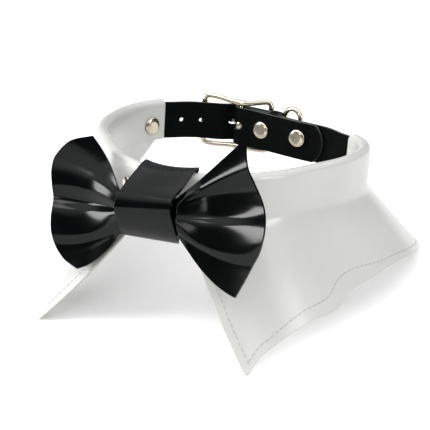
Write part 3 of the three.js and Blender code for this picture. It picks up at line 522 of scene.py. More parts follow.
def fine_grain_group():
    """Pebbled surface grain: a height from small cells softened by noise."""
    name = "Fine grain"
    if name in bpy.data.node_groups:
        return bpy.data.node_groups[name]
    group, given, result = new_group(name, {"Scale": 1500.0}, "Height")
    cells = add_node(group, "ShaderNodeTexVoronoi", (-400, 150),
                     {"Vector": given["Vector"], "Scale": given["Scale"], "Smoothness": 0.6},
                     feature="SMOOTH_F1")
    half = add_node(group, "ShaderNodeMath", (-600, -150), {0: given["Scale"], 1: 0.5},
                    operation="MULTIPLY")
    noise = add_node(group, "ShaderNodeTexNoise", (-400, -150),
                     {"Vector": given["Vector"], "Scale": half.outputs[0], "Detail": 3})
    both = add_node(group, "ShaderNodeMath", (0, 0),
                    {0: cells.outputs["Distance"], 1: 0.6, 2: noise.outputs["Fac"]},
                    operation="MULTIPLY_ADD")
    feed(group, result, {"Height": both.outputs[0]})
    return group


def handling_marks_group():
    """Soft smudges and fine rubbing marks from handling: a mask from 0 to 1."""
    name = "Handling marks"
    if name in bpy.data.node_groups:
        return bpy.data.node_groups[name]
    group, given, result = new_group(name, {"Scale": 60.0, "Sharpness": 0.25}, "Mask")
    clouds = add_node(group, "ShaderNodeTexNoise", (-500, 100),
                      {"Vector": given["Vector"], "Scale": given["Scale"], "Detail": 5,
                       "Roughness": 0.6})
    centred = add_node(group, "ShaderNodeMath", (-300, 100), {0: clouds.outputs["Fac"], 1: 0.5},
                       operation="SUBTRACT")
    spread = add_node(group, "ShaderNodeMath", (-100, 100),
                      {0: centred.outputs[0], 1: given["Sharpness"]}, operation="DIVIDE")
    shifted = add_node(group, "ShaderNodeMath", (100, 100), {0: spread.outputs[0], 1: 0.5},
                       operation="ADD", use_clamp=True)
    feed(group, result, {"Mask": shifted.outputs[0]})
    return group


def new_material(name):
    """New material with its nodes, its Principled shader and its texture coordinates."""
    material = bpy.data.materials.new(name)
    material.use_nodes = True
    tree = material.node_tree
    shader = next(n for n in tree.nodes if n.type == "BSDF_PRINCIPLED")
    where = add_node(tree, "ShaderNodeTexCoord", (-1100, 0))
    return material, tree, shader, where.outputs


def mix_colours(tree, place, mask, low, high):
    made = add_node(tree, "ShaderNodeMix", place, {"Factor": mask, "A": (*low, 1), "B": (*high, 1)},
                    data_type="RGBA")
    return made.outputs["Result"]


def ranged(tree, place, value, low, high):
    """Maps a 0 to 1 value onto low to high."""
    made = add_node(tree, "ShaderNodeMapRange", place, {"Value": value, "To Min": low, "To Max": high})
    return made.outputs["Result"]


def bump(tree, shader, place, height, distance, strength, under=None):
    """Raises the surface by a height, over another bump where one is given."""
    made = add_node(tree, "ShaderNodeBump", place,
                    {"Height": height, "Distance": distance, "Strength": strength})
    if under is not None:
        feed(tree, made, {"Normal": under})
    feed(tree, shader, {"Normal": made.outputs["Normal"]})
    return made.outputs["Normal"]


def shade(colour, factor):
    return tuple(min(c * factor, 1) for c in colour)


def mark_surface(tree, shader, where, colours, scale, sharpness=0.25, roughness=None):
    """Lets the handling marks vary the colour, and the roughness where a range is given."""
    marks = add_node(tree, "ShaderNodeGroup", (-800, 250),
                     {"Vector": where["Object"], "Scale": scale, "Sharpness": sharpness},
                     node_tree=handling_marks_group())
    mask = marks.outputs["Mask"]
    feed(tree, shader, {"Base Color": mix_colours(tree, (-500, 300), mask, *colours)})
    if roughness:
        feed(tree, shader, {"Roughness": ranged(tree, (-500, 0), mask, *roughness)})
    return mask


def grain_height(tree, where, scale):
    grain = add_node(tree, "ShaderNodeGroup", (-800, -450), {"Vector": where["Object"], "Scale": scale},
                     node_tree=fine_grain_group())
    return grain.outputs["Height"]


def slow_waves(tree, where, scale, detail):
    """Unevenness of a soft sheet that was never quite flat."""
    waves = add_node(tree, "ShaderNodeTexNoise", (-800, -200),
                     {"Vector": where["Object"], "Scale": scale, "Detail": detail})
    return waves.outputs["Fac"]


def white_vinyl():
    material, tree, shader, where = new_material("White vinyl")
    colour = tuple(bpy.context.scene.choker_collar.colour)
    mark_surface(tree, shader, where, (shade(colour, 0.965), colour), 45.0, 0.5, (0.26, 0.38))
    waves = slow_waves(tree, where, 90, 1)
    uneven = bump(tree, shader, (-400, -200), waves, distance=0.0004, strength=0.35)
    grain = grain_height(tree, where, 1400.0)
    bump(tree, shader, (-200, -300), grain, distance=0.00004, strength=0.35, under=uneven)
    feed(tree, shader, {"Coat Weight": 0.25, "Coat Roughness": 0.15})
    return material


def white_vinyl_edge():
    material, tree, shader, where = new_material("White vinyl cut edge")
    red, green, blue = bpy.context.scene.choker_collar.colour
    warm = (red * 0.78, green * 0.74, blue * 0.66)
    mark_surface(tree, shader, where, (warm, shade(warm, 1.12)), 400.0, roughness=(0.55, 0.75))
    return material


def thread():
    material, tree, shader, where = new_material("Sewing thread")
    twist = add_node(tree, "ShaderNodeTexWave", (-800, 0),
                     {"Vector": where["Object"], "Scale": 900, "Distortion": 2},
                     wave_type="BANDS", bands_direction="DIAGONAL")
    twist_height_and_shade = twist.outputs["Fac"]
    colour = tuple(bpy.context.scene.choker_collar.thread)
    # The twist's height also sets the colour: painted shade in the twist's grooves, 0.8 of the thread
    # colour.
    mixed = mix_colours(tree, (-500, 200), twist_height_and_shade, shade(colour, 0.8), colour)
    feed(tree, shader, {"Base Color": mixed, "Roughness": 0.6})
    bump(tree, shader, (-300, -200), twist_height_and_shade, distance=0.00008, strength=0.6)
    return material


def black_vinyl():
    material, tree, shader, where = new_material("Black vinyl")
    colour = tuple(bpy.context.scene.choker_bow.colour)
    mark_surface(tree, shader, where, (colour, shade(colour, 1.5)), 70.0, 0.6, (0.1, 0.17))
    waves = slow_waves(tree, where, 60, 2)
    bump(tree, shader, (-300, -200), waves, distance=0.0002, strength=0.25)
    feed(tree, shader, {"Specular IOR Level": 0.17})
    return material


def strap_leatherette():
    material, tree, shader, where = new_material("Strap leatherette")
    colour = tuple(bpy.context.scene.choker_strap.colour)
    mark_surface(tree, shader, where, (colour, shade(colour, 2.2)), 120.0, 0.5)
    grain = grain_height(tree, where, 950.0)
    bump(tree, shader, (-300, -250), grain, distance=0.0001, strength=0.55)
    rough = ranged(tree, (-500, 0), grain, 0.3, 0.55)
    feed(tree, shader, {"Roughness": rough, "Specular IOR Level": 0.05})
    return material


def strap_edge():
    material, tree, shader, where = new_material("Strap cut edge")
    colour = tuple(bpy.context.scene.choker_strap.edge_colour)
    mask = mark_surface(tree, shader, where, (shade(colour, 0.7), colour), 900.0)
    bump(tree, shader, (-300, -250), mask, distance=0.00008, strength=0.5)
    feed(tree, shader, {"Roughness": 0.62})
    return material


def woven_cloth():
    """Fine basket weave, drawn on the strip's own UV map in metres and turned by 45 degrees, with painted
    shade in its gaps and painted highlight on its crossings.
    """
    material, tree, shader, where = new_material("Woven strip")
    turned = add_node(tree, "ShaderNodeMapping", (-950, -150),
                      {"Vector": where["UV"], "Rotation": (0, 0, math.radians(45))})
    threads = {}
    for k, direction in enumerate(("X", "Y")):
        wave = add_node(tree, "ShaderNodeTexWave", (-750, -100 - 300 * k),
                        {"Vector": turned.outputs["Vector"], "Scale": 210},
                        wave_type="BANDS", bands_direction=direction)
        threads[k] = wave.outputs["Fac"]
    woven = add_node(tree, "ShaderNodeMath", (-520, -200), threads, operation="MULTIPLY").outputs[0]
    colour = tuple(bpy.context.scene.choker_bow.weave_colour)
    # The weave's height also sets the colour: painted shade in the gaps, down to 0.3 of the weave colour,
    # and painted highlight on the crossings, up to 3 times it.
    mixed = mix_colours(tree, (-300, 200), woven, shade(colour, 0.3), shade(colour, 3.0))
    bump(tree, shader, (-300, -250), woven, distance=0.0005, strength=1)
    feed(tree, shader, {"Base Color": mixed, "Roughness": 0.5, "Specular IOR Level": 0.2})
    return material


def plated_nickel():
    material, tree, shader, where = new_material("Plated nickel")
    colour = tuple(bpy.context.scene.choker_hardware.nickel)
    mask = mark_surface(tree, shader, where, (shade(colour, 0.88), colour), 350.0, 0.4, (0.14, 0.24))
    bump(tree, shader, (-300, -250), mask, distance=0.00003, strength=0.2)
    feed(tree, shader, {"Metallic": 1})
    return material


MAKERS = {
    "White vinyl": white_vinyl, "White vinyl cut edge": white_vinyl_edge, "Sewing thread": thread,
    "Black vinyl": black_vinyl, "Strap leatherette": strap_leatherette,
    "Strap cut edge": strap_edge, "Woven strip": woven_cloth, "Plated nickel": plated_nickel,
}


def material_named(name):
    return bpy.data.materials.get(name) or MAKERS[name]()


# Collar


def flap_direction(angle, lean):
    turn = math.radians(angle)
    slope = math.radians(lean)
    return Vector((math.sin(slope) * math.sin(turn), -math.sin(slope) * math.cos(turn), -math.cos(slope)))



def collar_lengths(side, share):
    """Hug and flap lengths below the roll, at a share of the way from the front to the end."""
    cut = mix(FLAP_CUT["angle"][0], FLAP_CUT["angle"][-1], share)
    below = angle_value(FLAP_CUT, "length" if side > 0 else "left_length", cut) + FLARE_BLEND / 2
    return cut, ROLL_CENTRE_UP - HUG_BOTTOM_UP, below


def collar_point(side, share, down):
    """Middle of the sheet: share 0 to 1 from the front to the end, down 0 to 1 from the band's
    lower edge over the roll to the hem."""
    top_angle = side * COLLAR_END * share
    start = 0
    for stage, end in COLLAR_STAGES:
        if down <= end:
            step = (down - start) / (end - start)
            break
        start = end
    if stage == "band":
        return band_point(top_angle, BAND_OUT, mix(-BAND_HEIGHT, ROLL_CENTRE_UP, step))
    if stage == "roll":
        turn = math.pi * (1 - step)
        return band_point(top_angle, ROLL_CENTRE_OUT + ROLL_RADIUS * math.cos(turn),
                          ROLL_CENTRE_UP + ROLL_RADIUS * math.sin(turn))
    cut, hug, below = collar_lengths(side, share)
    travelled = hug * step if stage == "hug" else hug + below * step
    power = RIGHT_SHEAR_POWER if side > 0 else LEFT_SHEAR_POWER
    angle = mix(top_angle, side * cut, (travelled / (hug + below)) ** power)
    if stage == "hug":
        return band_point(angle, mix(ROLL_CENTRE_OUT + ROLL_RADIUS, HUG_BOTTOM_OUT, step),
                          mix(ROLL_CENTRE_UP, HUG_BOTTOM_UP, step))
    fallen = below * step
    blend = min(fallen / FLARE_BLEND, 1)
    leaning = FLARE_BLEND * (blend**3 - blend**4 / 2)
    straight = FLARE_BLEND * blend - leaning
    past = max(fallen - FLARE_BLEND, 0)
    lean = angle_value(FLAP_CUT, "lean" if side > 0 else "left_lean", side * angle)
    point = band_point(angle, HUG_BOTTOM_OUT, HUG_BOTTOM_UP - straight)
    return point + flap_direction(angle, lean) * (leaning + past)


def collar_half(side):
    def place(x, y):
        point = collar_point(side, x, y)
        return Vector((point.x, point.y, max(point.z, FLOOR_GAP)))

    bm = lay(flat_cut(*COLLAR_GRID), place, COLLAR_CUT)
    if side < 0:
        bmesh.ops.reverse_faces(bm, faces=bm.faces)
    return bm


def surface_at(side, share, down):
    """Place and outward normal of the sheet."""
    step = 0.002
    here = collar_point(side, share, down)
    across = collar_point(side, min(share + step, 1), down) - collar_point(side, max(share - step, 0), down)
    along = collar_point(side, share, min(down + step, 1)) - collar_point(side, share, max(down - step, 0))
    normal = along.cross(across).normalized() * side
    return here, normal


def stitch_lines(side, inset):
    """The seam's places in share and down: down the front edge, then along the hem."""

    def hem_down(share):
        hem_inset = inset * row_value(HEM_INSET, share)
        return 1 - (1 - FLAP_START) * hem_inset / collar_lengths(side, share)[2]

    def width_share(down):
        step = 0.02
        near = collar_point(side, 0, down)
        far = collar_point(side, step, down)
        return step * inset / (far - near).length

    corner = width_share(hem_down(0.03))
    bottom = hem_down(corner)
    downs = [mix(SEAM_TOP, bottom, k / FRONT_SEAM_STEPS) for k in range(FRONT_SEAM_STEPS + 1)]
    shares = [mix(corner, 1, k / HEM_SEAM_STEPS) for k in range(HEM_SEAM_STEPS + 1)]
    return [(width_share(down), down) for down in downs], [(share, hem_down(share)) for share in shares]


def spaced_along(side, line, pitch):
    """Places along a seam, one every pitch, each with the direction to the next."""
    points = [surface_at(side, *place) for place in line]
    found = []
    travelled, goal = 0, pitch / 2
    for (a, normal_a), (b, normal_b) in zip(points, points[1:]):
        length = (b - a).length
        while travelled + length >= goal:
            share = (goal - travelled) / length
            found.append((a.lerp(b, share), normal_a.lerp(normal_b, share).normalized(),
                          (b - a).normalized()))
            goal += pitch
        travelled += length
    return found


class CHOKER_OT_collar(Operator):
    """Fold the white vinyl sheet over the band and sew its edge"""

    bl_idname = "choker.collar"
    bl_label = "Collar"

    def execute(self, context):
        settings = context.scene.choker_collar
        bm = collar_half(1)
        left = collar_half(-1)
        spare = bpy.data.meshes.new("left half")
        left.to_mesh(spare)
        left.free()
        bm.from_mesh(spare)
        bpy.data.meshes.remove(spare)
        bmesh.ops.remove_doubles(bm, verts=bm.verts, dist=1e-3)
        collar = finish_piece("collar_sheet", bm, ["White vinyl", "White vinyl cut edge"],
                              ["collar"])
        thicken(collar, settings.thickness, edge_round=0.25, rim_slot=1)
        stitches = self.sew(settings)
        return {"FINISHED"}

    def sew(self, settings):
        bm = bmesh.new()
        bm.loops.layers.uv.new("UVMap")
        long, thick = settings.stitch_length * STITCH["long"], STITCH["thick"]
        for side in (1, -1):
            for line in stitch_lines(side, settings.stitch_inset):
                for point, normal, along in spaced_along(side, line, settings.stitch_length):
                    for face in (1, -1):
                        up = normal * face
                        across = up.cross(along).normalized()
                        turned = Matrix((along, across, up)).transposed().to_4x4()
                        lifted = point + up * (settings.thickness / 2 + thick * STITCH["proud"])
                        shape = Matrix.Diagonal((long, thick, thick * STITCH["flat"], 1))
                        bmesh.ops.create_uvsphere(bm, u_segments=8, v_segments=6, radius=1,
                                                  matrix=Matrix.Translation(lifted) @ turned @ shape)
        return finish_piece("collar_stitching", bm, ["Sewing thread"])


# Straps


def run_lengths(run, count=240):
    """Points along a strap's middle line in its own plane, with the distance to each."""
    points, travelled = [], [0]
    for k in range(count + 1):
        angle = row_value(run["angle"], k / count)
        out = row_value(run["out"], k / count)
        points.append((angle, out))
        if k:
            step = band_point(angle, out, 0) - band_point(*points[-2], 0)
            travelled.append(travelled[-1] + step.length)
    return points, travelled


def strap_cut(run, holes, rounded=False):
    """Flat strap of the run's real length, punched, its first end rounded, then bent."""
    points, travelled = run_lengths(run)
    length = travelled[-1]
    bm = flat_cut(round(length / STRAP_FACE), STRAP_ROWS)
    for vert in bm.verts:
        x, y = vert.co.x * length, -BAND_HEIGHT * (1 - vert.co.y)
        if rounded:
            drawn_in = END_ROUND - math.sqrt(END_ROUND**2 - (y - BAND_MIDDLE) ** 2)
            x += drawn_in * max(1 - x / END_REACH, 0)
        vert.co = Vector((x, y, 0))
    for centre, half_length, half_height in holes:
        punch(bm, centre, half_length, half_height)

    def place(x, y):
        k = 0
        while k < len(travelled) - 2 and travelled[k + 1] < x:
            k += 1
        share = (x - travelled[k]) / (travelled[k + 1] - travelled[k])
        a = band_point(*points[k], y)
        b = band_point(*points[k + 1], y)
        return a.lerp(b, share)

    return lay(bm, place)


def punch(bm, centre, half_length, half_height):
    """Round or oval hole in a flat strap: faces inside go, and the rim moves onto the oval."""
    def inside(point):
        return math.hypot((point.x - centre.x) / half_length, (point.y - centre.y) / half_height)

    gone = [face for face in bm.faces if inside(face.calc_center_median()) < 1]
    rim = {vert for face in gone for vert in face.verts
           if any(other not in gone for other in vert.link_faces)}
    bmesh.ops.delete(bm, geom=gone, context="FACES")
    for vert in rim:
        if vert.is_valid:
            offset = vert.co - centre
            vert.co = centre + offset / max(inside(vert.co), 0.01)


def place_along(run, angle, first=True):
    """Distance along a run at which it first, or last, passes an angle."""
    points, travelled = run_lengths(run)
    found = [travelled[k] for k in range(len(points) - 1)
             if min(points[k][0], points[k + 1][0]) <= angle <= max(points[k][0], points[k + 1][0])]
    return found[0] if first else found[-1]


class CHOKER_OT_straps(Operator):
    """Cut, punch and bend the two straps"""

    bl_idname = "choker.straps"
    bl_label = "Straps"

    def execute(self, context):
        settings = context.scene.choker_strap
        holes = [(Vector((place_along(TONGUE_RUN, angle), BAND_MIDDLE, 0)), HOLE_RADIUS, HOLE_RADIUS)
                 for angle in HOLE_ANGLES]
        slot = Vector((place_along(TONGUE_RUN, PRONG_SLOT["angle"]), BAND_MIDDLE, 0))
        holes.append((slot, PRONG_SLOT["half_length"], PRONG_SLOT["half_height"]))
        tongue = finish_piece("strap_with_holes", strap_cut(TONGUE_RUN, holes), STRAP_MATERIALS,
                              ["strap_tongue"])
        thicken(tongue, settings.thickness, edge_round=0.3, rim_slot=1)
        points, travelled = run_lengths(BUCKLE_RUN)
        fold = max(range(len(points)), key=lambda k: points[k][0])
        centre = Vector((travelled[fold], BAND_MIDDLE, 0))
        fold_hole = (centre, FOLD_SLOT["half_length"], FOLD_SLOT["half_height"])
        cut = strap_cut(BUCKLE_RUN, [fold_hole], rounded=True)
        buckle = finish_piece("strap_with_buckle", cut, STRAP_MATERIALS, ["strap_buckle"])
        thicken(buckle, settings.thickness, edge_round=0.3, rim_slot=1)
        return {"FINISHED"}


class CHOKER_OT_keeper(Operator):
    """Bend the keeper loop round the strap and the tongue's end"""

    bl_idname = "choker.keeper"
    bl_label = "Keeper"

    def execute(self, context):
        rim = KEEPER["thickness"]
        half_high = BAND_HEIGHT / 2 + STRAP_GAP + rim / 2
        half_deep = (KEEPER["high"] - KEEPER["low"] + rim) / 2
        centre = band_frame(KEEPER["angle"], (KEEPER["low"] + KEEPER["high"]) / 2, BAND_MIDDLE)

        def place(x, y):
            high, deep = math.sin(2 * math.pi * x), math.cos(2 * math.pi * x)
            high = math.copysign(abs(high) ** KEEPER["round"], high) * half_high
            deep = math.copysign(abs(deep) ** KEEPER["round"], deep) * half_deep
            return centre @ Vector(((y - 0.5) * KEEPER["width"], high, deep))

        bm = lay(flat_cut(96, 8), place)
        bmesh.ops.remove_doubles(bm, verts=bm.verts, dist=1e-4)
        bmesh.ops.recalc_face_normals(bm, faces=bm.faces)
        keeper = finish_piece("keeper_loop", bm, STRAP_MATERIALS, ["keeper"])
        thicken(keeper, rim, edge_round=0.15, rim_slot=1)
        return {"FINISHED"}


# Metal


class CHOKER_OT_rivets(Operator):
    """Turn the rivets: a broad flat cap on the neck side and a small cap outside"""

    bl_idname = "choker.rivets"
    bl_label = "Rivets"

    def execute(self, context):
        for name, rivet in RIVETS.items():
            caps = ((RIVET_INNER_CAP, rivet["start"]), (RIVET_OUTER_CAP, rivet["finish"]))
            profile = [(radius, base + height) for cap, base in caps
                       for radius, height in zip(cap["radius"], cap["height"])]
            bm = lathe(profile, 56)
            bmesh.ops.transform(bm, matrix=band_frame(rivet["angle"], 0, rivet["up"]), verts=bm.verts)
            finish_piece(name + "_cap", bm, ["Plated nickel"], [name])
        return {"FINISHED"}


def line_through(points, closed, upward):
    """Smooth line through points with its centre and two unit half-axes at a share 0 to 1."""
    count = len(points)

    def at(share):
        if closed:
            place = (share % 1) * count
            return Vector([loop_value([p[i] for p in points], place) for i in range(3)])
        return Vector([row_value([p[i] for p in points], share) for i in range(3)])

    def line(share):
        step = 0.002
        low, high = (share - step, share + step) if closed else (max(share - step, 0), min(share + step, 1))
        along = (at(high) - at(low)).normalized()
        second = upward(at(share))
        first = along.cross(second).normalized()
        second = first.cross(along).normalized()
        return at(share), first, second

    return line


class CHOKER_OT_buckle(Operator):
    """Bend the centre-bar buckle frame and its prong"""

    bl_idname = "choker.buckle"
    bl_label = "Buckle"

    def execute(self, context):
        sides = context.scene.choker_hardware.sides
        upper = list(zip(FRAME_RAIL["angle"], FRAME_RAIL["out"], FRAME_RAIL["high"]))
        lower = [(a, o, -h) for a, o, h in reversed(upper)]
        right_angle, right_out, right_high = FRAME_RIGHT_END
        left_angle, left_out, left_high = FRAME_LEFT_END
        right = [(right_angle, right_out, h) for h in (right_high, 0, -right_high)]
        left = [(left_angle, left_out, h) for h in (-left_high, 0, left_high)]
        points = [band_point(a, o, BAND_MIDDLE + h) for a, o, h in upper + right + lower + left]
        middle = band_frame(BAR["angle"], BAR["out"], BAND_MIDDLE)
        inverse = middle.inverted()

        def outward(point):
            local = inverse @ point
            return band_frame(BAR["angle"] + local.x * 0.5, 0, 0).to_3x3().col[2]

        run = line_through(points, True, outward)

        def rail(share):
            centre, first, second = run(share)
            local = inverse @ centre
            broad = smoothstep(left_high + END_BAR_REACH - abs(local.y), 0, END_BAR_FADE)
            boss = mix(BOSS_RADIUS, RAIL_RADIUS, smoothstep(abs(local.x), *BOSS_REACH))
            return centre, first * mix(boss, END_BAR_HALF_WIDTH, broad), second * boss

        loop = tube(rail, sides, steps=160, closed=True)
        finish_piece("buckle_loop", loop, ["Plated nickel"], ["buckle_frame"])

        reach = FRAME_RAIL["high"][3]

        def bar(share):
            radius = BAR["radius"] * (CLOSED_END if share in (0, 1) else 1)
            return middle @ Vector((0, mix(-reach, reach, share), 0)), \
                middle.to_3x3().col[0] * radius, middle.to_3x3().col[2] * radius

        finish_piece("buckle_bar", tube(bar, sides, steps=12), ["Plated nickel"])

        places = [middle @ Vector((a, 0, o)) for a, o in zip(PRONG_RUN["along"], PRONG_RUN["out"])]
        across = middle.to_3x3().col[1]
        prong_line = line_through(places, False, lambda point: across)

        def prong(share):
            centre, first, second = prong_line(share)
            end = min(share, 1 - share) / PRONG_TIP
            taper = math.sqrt(max(1 - (1 - min(end, 1)) ** 2, 1e-6))
            narrow = smoothstep(share, *PRONG_NARROWING)
            half_width = mix(PRONG_CURL_HALF_WIDTH, PRONG_HALF_WIDTH, narrow)
            return centre, first * PRONG_RADIUS * taper, second * half_width * taper

        tongue = tube(prong, 16, steps=140)
        finish_piece("buckle_tongue", tongue, ["Plated nickel"], ["buckle_prong"])
        return {"FINISHED"}


class CHOKER_OT_ring(Operator):
    """Bend the ring and fold the strip that holds it"""

    bl_idname = "choker.ring"
    bl_label = "Ring"

    def execute(self, context):
        middle = band_frame(RING["angle"], RING["out"], RING["up"])

        def wire(share):
            turn = 2 * math.pi * share
            spoke = middle.to_3x3() @ Vector((math.cos(turn), math.sin(turn), 0))
            return middle.translation + spoke * RING["radius"], spoke * RING["wire"], \
                middle.to_3x3().col[2] * RING["wire"]

        loop = tube(wire, 20, steps=80, closed=True)
        finish_piece("ring_wire", loop, ["Plated nickel"], ["ring"])
        thick = TAB["thickness"]
        grip = RING["wire"] + TAB["gap"] + thick / 2
        wire_up = RING["up"] - RING["radius"]
        near = TAB["near"] + thick / 2 - RING["out"]
        low = TAB["bottom"] - wire_up
        path = [(near, low), (near, low * 0.5), (near, -grip * 1.9), (-grip * 0.98, -grip * 0.5)]
        path += [(grip * math.cos(t), grip * math.sin(t))
                 for t in (math.radians(d) for d in range(170, -11, -20))]
        path += [(grip * 0.75, -grip * 0.9), (near + thick, -grip * 2), (near + thick, low * 0.5),
                 (near + thick, low)]
        at_wire = band_frame(RING["angle"], RING["out"], wire_up)

        def place(x, y):
            out = row_value([p[0] for p in path], y)
            up = row_value([p[1] for p in path], y)
            return at_wire @ Vector(((x - 0.5) * TAB["width"], up, out))

        tab = finish_piece("ring_strip", lay(flat_cut(6, 90), place), STRAP_MATERIALS,
                           ["ring_tab"])
        thicken(tab, thick, edge_round=0.12, rim_slot=1)
        return {"FINISHED"}


class CHOKER_OT_snap(Operator):
    """Turn the snap's cap on the collar beside the knot"""

    bl_idname = "choker.snap"
    bl_label = "Snap"

    def execute(self, context):
        radius, high = SNAP["radius"], SNAP["high"]
        profile = [(0, 0), (radius - 0.1, 0), (radius, 0.12), (radius, high * 0.3),
                   (radius * 0.9, high * 0.55), (radius * 0.72, high * 0.8),
                   (radius * 0.4, high * 0.94), (0, high)]
        bm = lathe(profile, 40)
        out = ROLL_CENTRE_OUT + ROLL_RADIUS + SNAP["off"]
        bmesh.ops.transform(bm, matrix=band_frame(SNAP["angle"], out, SNAP["up"]), verts=bm.verts)
        finish_piece("snap_cap", bm, ["Plated nickel"], ["snap"])
        return {"FINISHED"}


# Bow


def bow_point(x, height, deep):
    lean = Vector((x, height * math.sin(BOW_LEAN) - deep * math.cos(BOW_LEAN),
                   height * math.cos(BOW_LEAN) + deep * math.sin(BOW_LEAN)))
    return BOW_TURN @ lean + BOW_CENTRE + PLACE


def wing_point(table, side, out, across):
    """Middle of the sheet: out 0 to 1 from the pinch to the edge, across 0 to 1 from low to high."""
    near = (1 - out) * (1 - 2 * out)
    mid = 4 * out * (1 - out)
    far = out * (2 * out - 1)

    def at(column):
        return row_value(table[column], across)

    x = near * side * PINCH_HALF_WIDTH + mid * at("mid_x") + far * at("end_x")
    height = near * at("root") + mid * at("mid_h") + far * at("end_h")
    upright = (1 - smoothstep(out, 0, PINCH_REACH[side])) * (PINCH_EDGE_UPRIGHT * height - PINCH_EDGE_BACK)
    deep = near * at("root_deep") + mid * at("mid_deep") + far * at("end_deep")
    return Vector((x, height, deep + upright))


def pinched_point(across, share):
    """Middle of the sheet under the knot, drawn together away from the wings."""
    place = wing_point(LEFT_WING, -1, 0, across).lerp(wing_point(RIGHT_WING, 1, 0, across), share)
    drawn = smoothstep(PINCH_HALF_WIDTH - abs(place.x), *PINCH_EDGE[1 if place.x > 0 else -1])
    height = mix(place.y, PINCH_SQUEEZE * place.y + PINCH_RISE, drawn)
    return Vector((place.x, height, mix(place.z, PINCH_UPRIGHT * height - PINCH_SET_BACK, drawn)))


class CHOKER_OT_bow(Operator):
    """Gather the black vinyl sheet into the bow's two pleated wings"""

    bl_idname = "choker.bow"
    bl_label = "Bow"

    def execute(self, context):
        settings = context.scene.choker_bow

        def place(x, y):
            offset = 2 * x - 1
            side = 1 if offset > 0 else -1
            table = RIGHT_WING if offset > 0 else LEFT_WING
            if abs(offset) >= PINCH_SHARE:
                out = (abs(offset) - PINCH_SHARE) / (1 - PINCH_SHARE)
                return bow_point(*wing_point(table, side, out, y))
            return bow_point(*pinched_point(y, (offset / PINCH_SHARE + 1) / 2))

        bow = finish_piece("bow_wings", lay(flat_cut(*BOW_GRID), place, BOW_CUT),
                           ["Black vinyl"], ["bow"])
        thicken(bow, settings.thickness, edge_round=0.2)
        return {"FINISHED"}


def strip_point(x, y, z, turn):
    """Point across the strip: it follows the neck's curve behind and the bow's roll in front."""
    flatness = smoothstep(BEND_START - y, 0, BEND_START - BEND_END)
    curved = y + (1 - flatness) * x * x / (2 * NECK_FRONT_CURVE)
    centre = Vector((0, 0, BOW_CENTRE.z))
    return Matrix.Rotation(BOW_ROLL * turn, 3, "Y") @ (Vector((x, curved, z)) - centre) + centre + PLACE


def strip_place(place, across, out, extra_width=0, left_inset=0):
    """Point of the loop at a row place, across -0.5 to 0.5, lifted out by some millimetres."""
    step = 0.05

    def at(column, shift=0):
        return loop_value(WOVEN_RUN[column], place + shift)

    along = Vector((at("y", step) - at("y", -step), at("z", step) - at("z", -step))).normalized()
    sideways = (at("width") + extra_width) * across + at("side") + left_inset * (0.5 - across)
    return strip_point(sideways, at("y") + along.y * out, at("z") - along.x * out, at("turn"))


class CHOKER_OT_knot(Operator):
    """Wrap the woven strip round the bow's middle and the glossy band over it"""

    bl_idname = "choker.knot"
    bl_label = "Knot"

    def execute(self, context):
        count = len(WOVEN_RUN["y"])

        def woven(x, y):
            return strip_place(y * count, x - 0.5, -WOVEN_THICKNESS / 2)

        bm = lay(flat_cut(40, 200), woven, WOVEN_CUT)
        bmesh.ops.remove_doubles(bm, verts=bm.verts, dist=1e-4)
        strip = finish_piece("woven_loop", bm, ["Woven strip"], ["woven_strip"])
        thicken(strip, WOVEN_THICKNESS, edge_round=0.15)

        def band(x, y):
            place = mix(KNOT_FROM, KNOT_TO, y)
            inset = mix(KNOT_TOP_INSET, KNOT_LEFT_INSET, smoothstep(place, KNOT_FROM, KNOT_INSET_END))
            return strip_place(place, x - 0.5, KNOT_OUT, KNOT_EXTRA_WIDTH, inset)

        knot = finish_piece("knot_wrap", lay(flat_cut(60, 120), band, KNOT_CUT),
                            ["Black vinyl"], ["knot_band"])
        thicken(knot, KNOT_THICKNESS, edge_round=0.25, segments=3)
        return {"FINISHED"}


# Stage


def add_area_light(name, place, size, power):
    data = bpy.data.lights.new(name, "AREA")
    data.shape = "RECTANGLE"
    data.size, data.size_y = size
    data.energy = power
    light = bpy.data.objects.new(name, data)
    light.location = place
    light.rotation_euler = (LIGHT_TARGET - Vector(place)).to_track_quat("-Z", "Y").to_euler()
    bpy.context.scene.collection.objects.link(light)


def add_sky(light):
    """Soft studio sky, dark near the ground and bright above."""
    world = bpy.data.worlds.new("Soft studio")
    world.use_nodes = True
    tree = world.node_tree
    sky = tree.nodes["Background"]
    facing = add_node(tree, "ShaderNodeTexCoord", (-900, 0))
    split = add_node(tree, "ShaderNodeSeparateXYZ", (-700, 0), {"Vector": facing.outputs["Generated"]})
    ceiling = add_node(tree, "ShaderNodeValToRGB", (-500, 0), {"Fac": split.outputs["Z"]})
    ramp = ceiling.color_ramp
    for height in SKY["height"][2:]:
        ramp.elements.new(height)
    for stop, height, level in zip(ramp.elements, SKY["height"], SKY["level"]):
        stop.position = height
        stop.color = (level, level, level * SKY_BLUE, 1)
    feed(tree, sky, {"Color": ceiling.outputs["Color"], "Strength": light})
    bpy.context.scene.world = world


def add_camera():
    data = bpy.data.cameras.new("Camera")
    data.lens = CAMERA_LENS
    data.sensor_width = SENSOR_WIDTH
    data.clip_start = 0.01
    data.clip_end = 20
    camera = bpy.data.objects.new("Camera", data)
    back = CAMERA_BACK.normalized()
    turned = Matrix((CAMERA_RIGHT, back.cross(CAMERA_RIGHT), back)).transposed().to_4x4()
    camera.matrix_world = Matrix.Translation(CAMERA_PLACE) @ turned
    bpy.context.scene.collection.objects.link(camera)
    bpy.context.scene.camera = camera


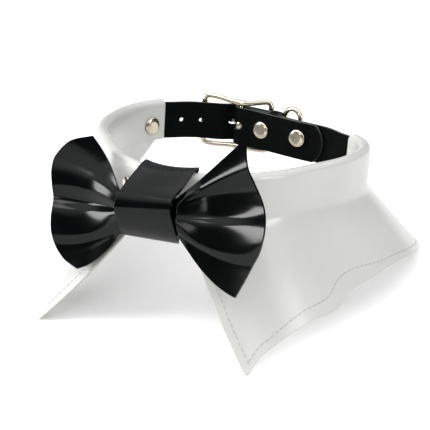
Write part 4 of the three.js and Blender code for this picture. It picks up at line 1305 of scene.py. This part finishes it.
class CHOKER_OT_stage(Operator):
    """Set the floor, the soft lights and the camera"""

    bl_idname = "choker.stage"
    bl_label = "Stage"

    def execute(self, context):
        settings = context.scene.choker_stage
        bm = bmesh.new()
        bmesh.ops.create_grid(bm, x_segments=1, y_segments=1, size=FLOOR_SIZE)
        mesh = bpy.data.meshes.new("floor")
        bm.to_mesh(mesh)
        bm.free()
        floor = bpy.data.objects.new("floor", mesh)
        context.scene.collection.objects.link(floor)
        material, tree, shader, _ = new_material("Plain floor")
        feed(tree, shader, {"Base Color": (*settings.floor_colour, 1), "Roughness": 0.9})
        mesh.materials.append(material)
        add_sky(settings.light)
        for name, light in LIGHTS.items():
            add_area_light(name, light["place"], light["size"], light["power"] * settings.light)
        add_camera()
        context.scene.view_settings.view_transform = "Standard"
        return {"FINISHED"}


class CHOKER_PT_panel(Panel):
    """Sizes, colours and steps of the choker"""

    bl_label = "Bow tie choker"
    bl_idname = "CHOKER_PT_panel"
    bl_space_type = "VIEW_3D"
    bl_region_type = "UI"
    bl_category = "Choker"

    def draw(self, context):
        for name, _ in SETTINGS:
            box = self.layout.box()
            group = getattr(context.scene, name)
            for prop in group.__annotations__:
                box.prop(group, prop)
        for step in STEPS:
            self.layout.operator(step.bl_idname)


SETTINGS = (
    ("choker_collar", ChokerCollarSettings),
    ("choker_strap", ChokerStrapSettings),
    ("choker_bow", ChokerBowSettings),
    ("choker_hardware", ChokerHardwareSettings),
    ("choker_stage", ChokerStageSettings),
)
STEPS = (
    CHOKER_OT_stage, CHOKER_OT_straps, CHOKER_OT_keeper, CHOKER_OT_collar, CHOKER_OT_rivets,
    CHOKER_OT_buckle, CHOKER_OT_ring, CHOKER_OT_bow, CHOKER_OT_knot, CHOKER_OT_snap,
)


def register():
    for name, group in SETTINGS:
        bpy.utils.register_class(group)
        setattr(bpy.types.Scene, name, PointerProperty(type=group))
    for step in (*STEPS, CHOKER_PT_panel):
        bpy.utils.register_class(step)


def unregister():
    for step in (*STEPS, CHOKER_PT_panel):
        bpy.utils.unregister_class(step)
    for name, group in SETTINGS:
        delattr(bpy.types.Scene, name)
        bpy.utils.unregister_class(group)


def main():
    register()
    for step in STEPS:
        group, name = step.bl_idname.split(".")
        getattr(getattr(bpy.ops, group), name)()


if __name__ == "__main__":
    main()
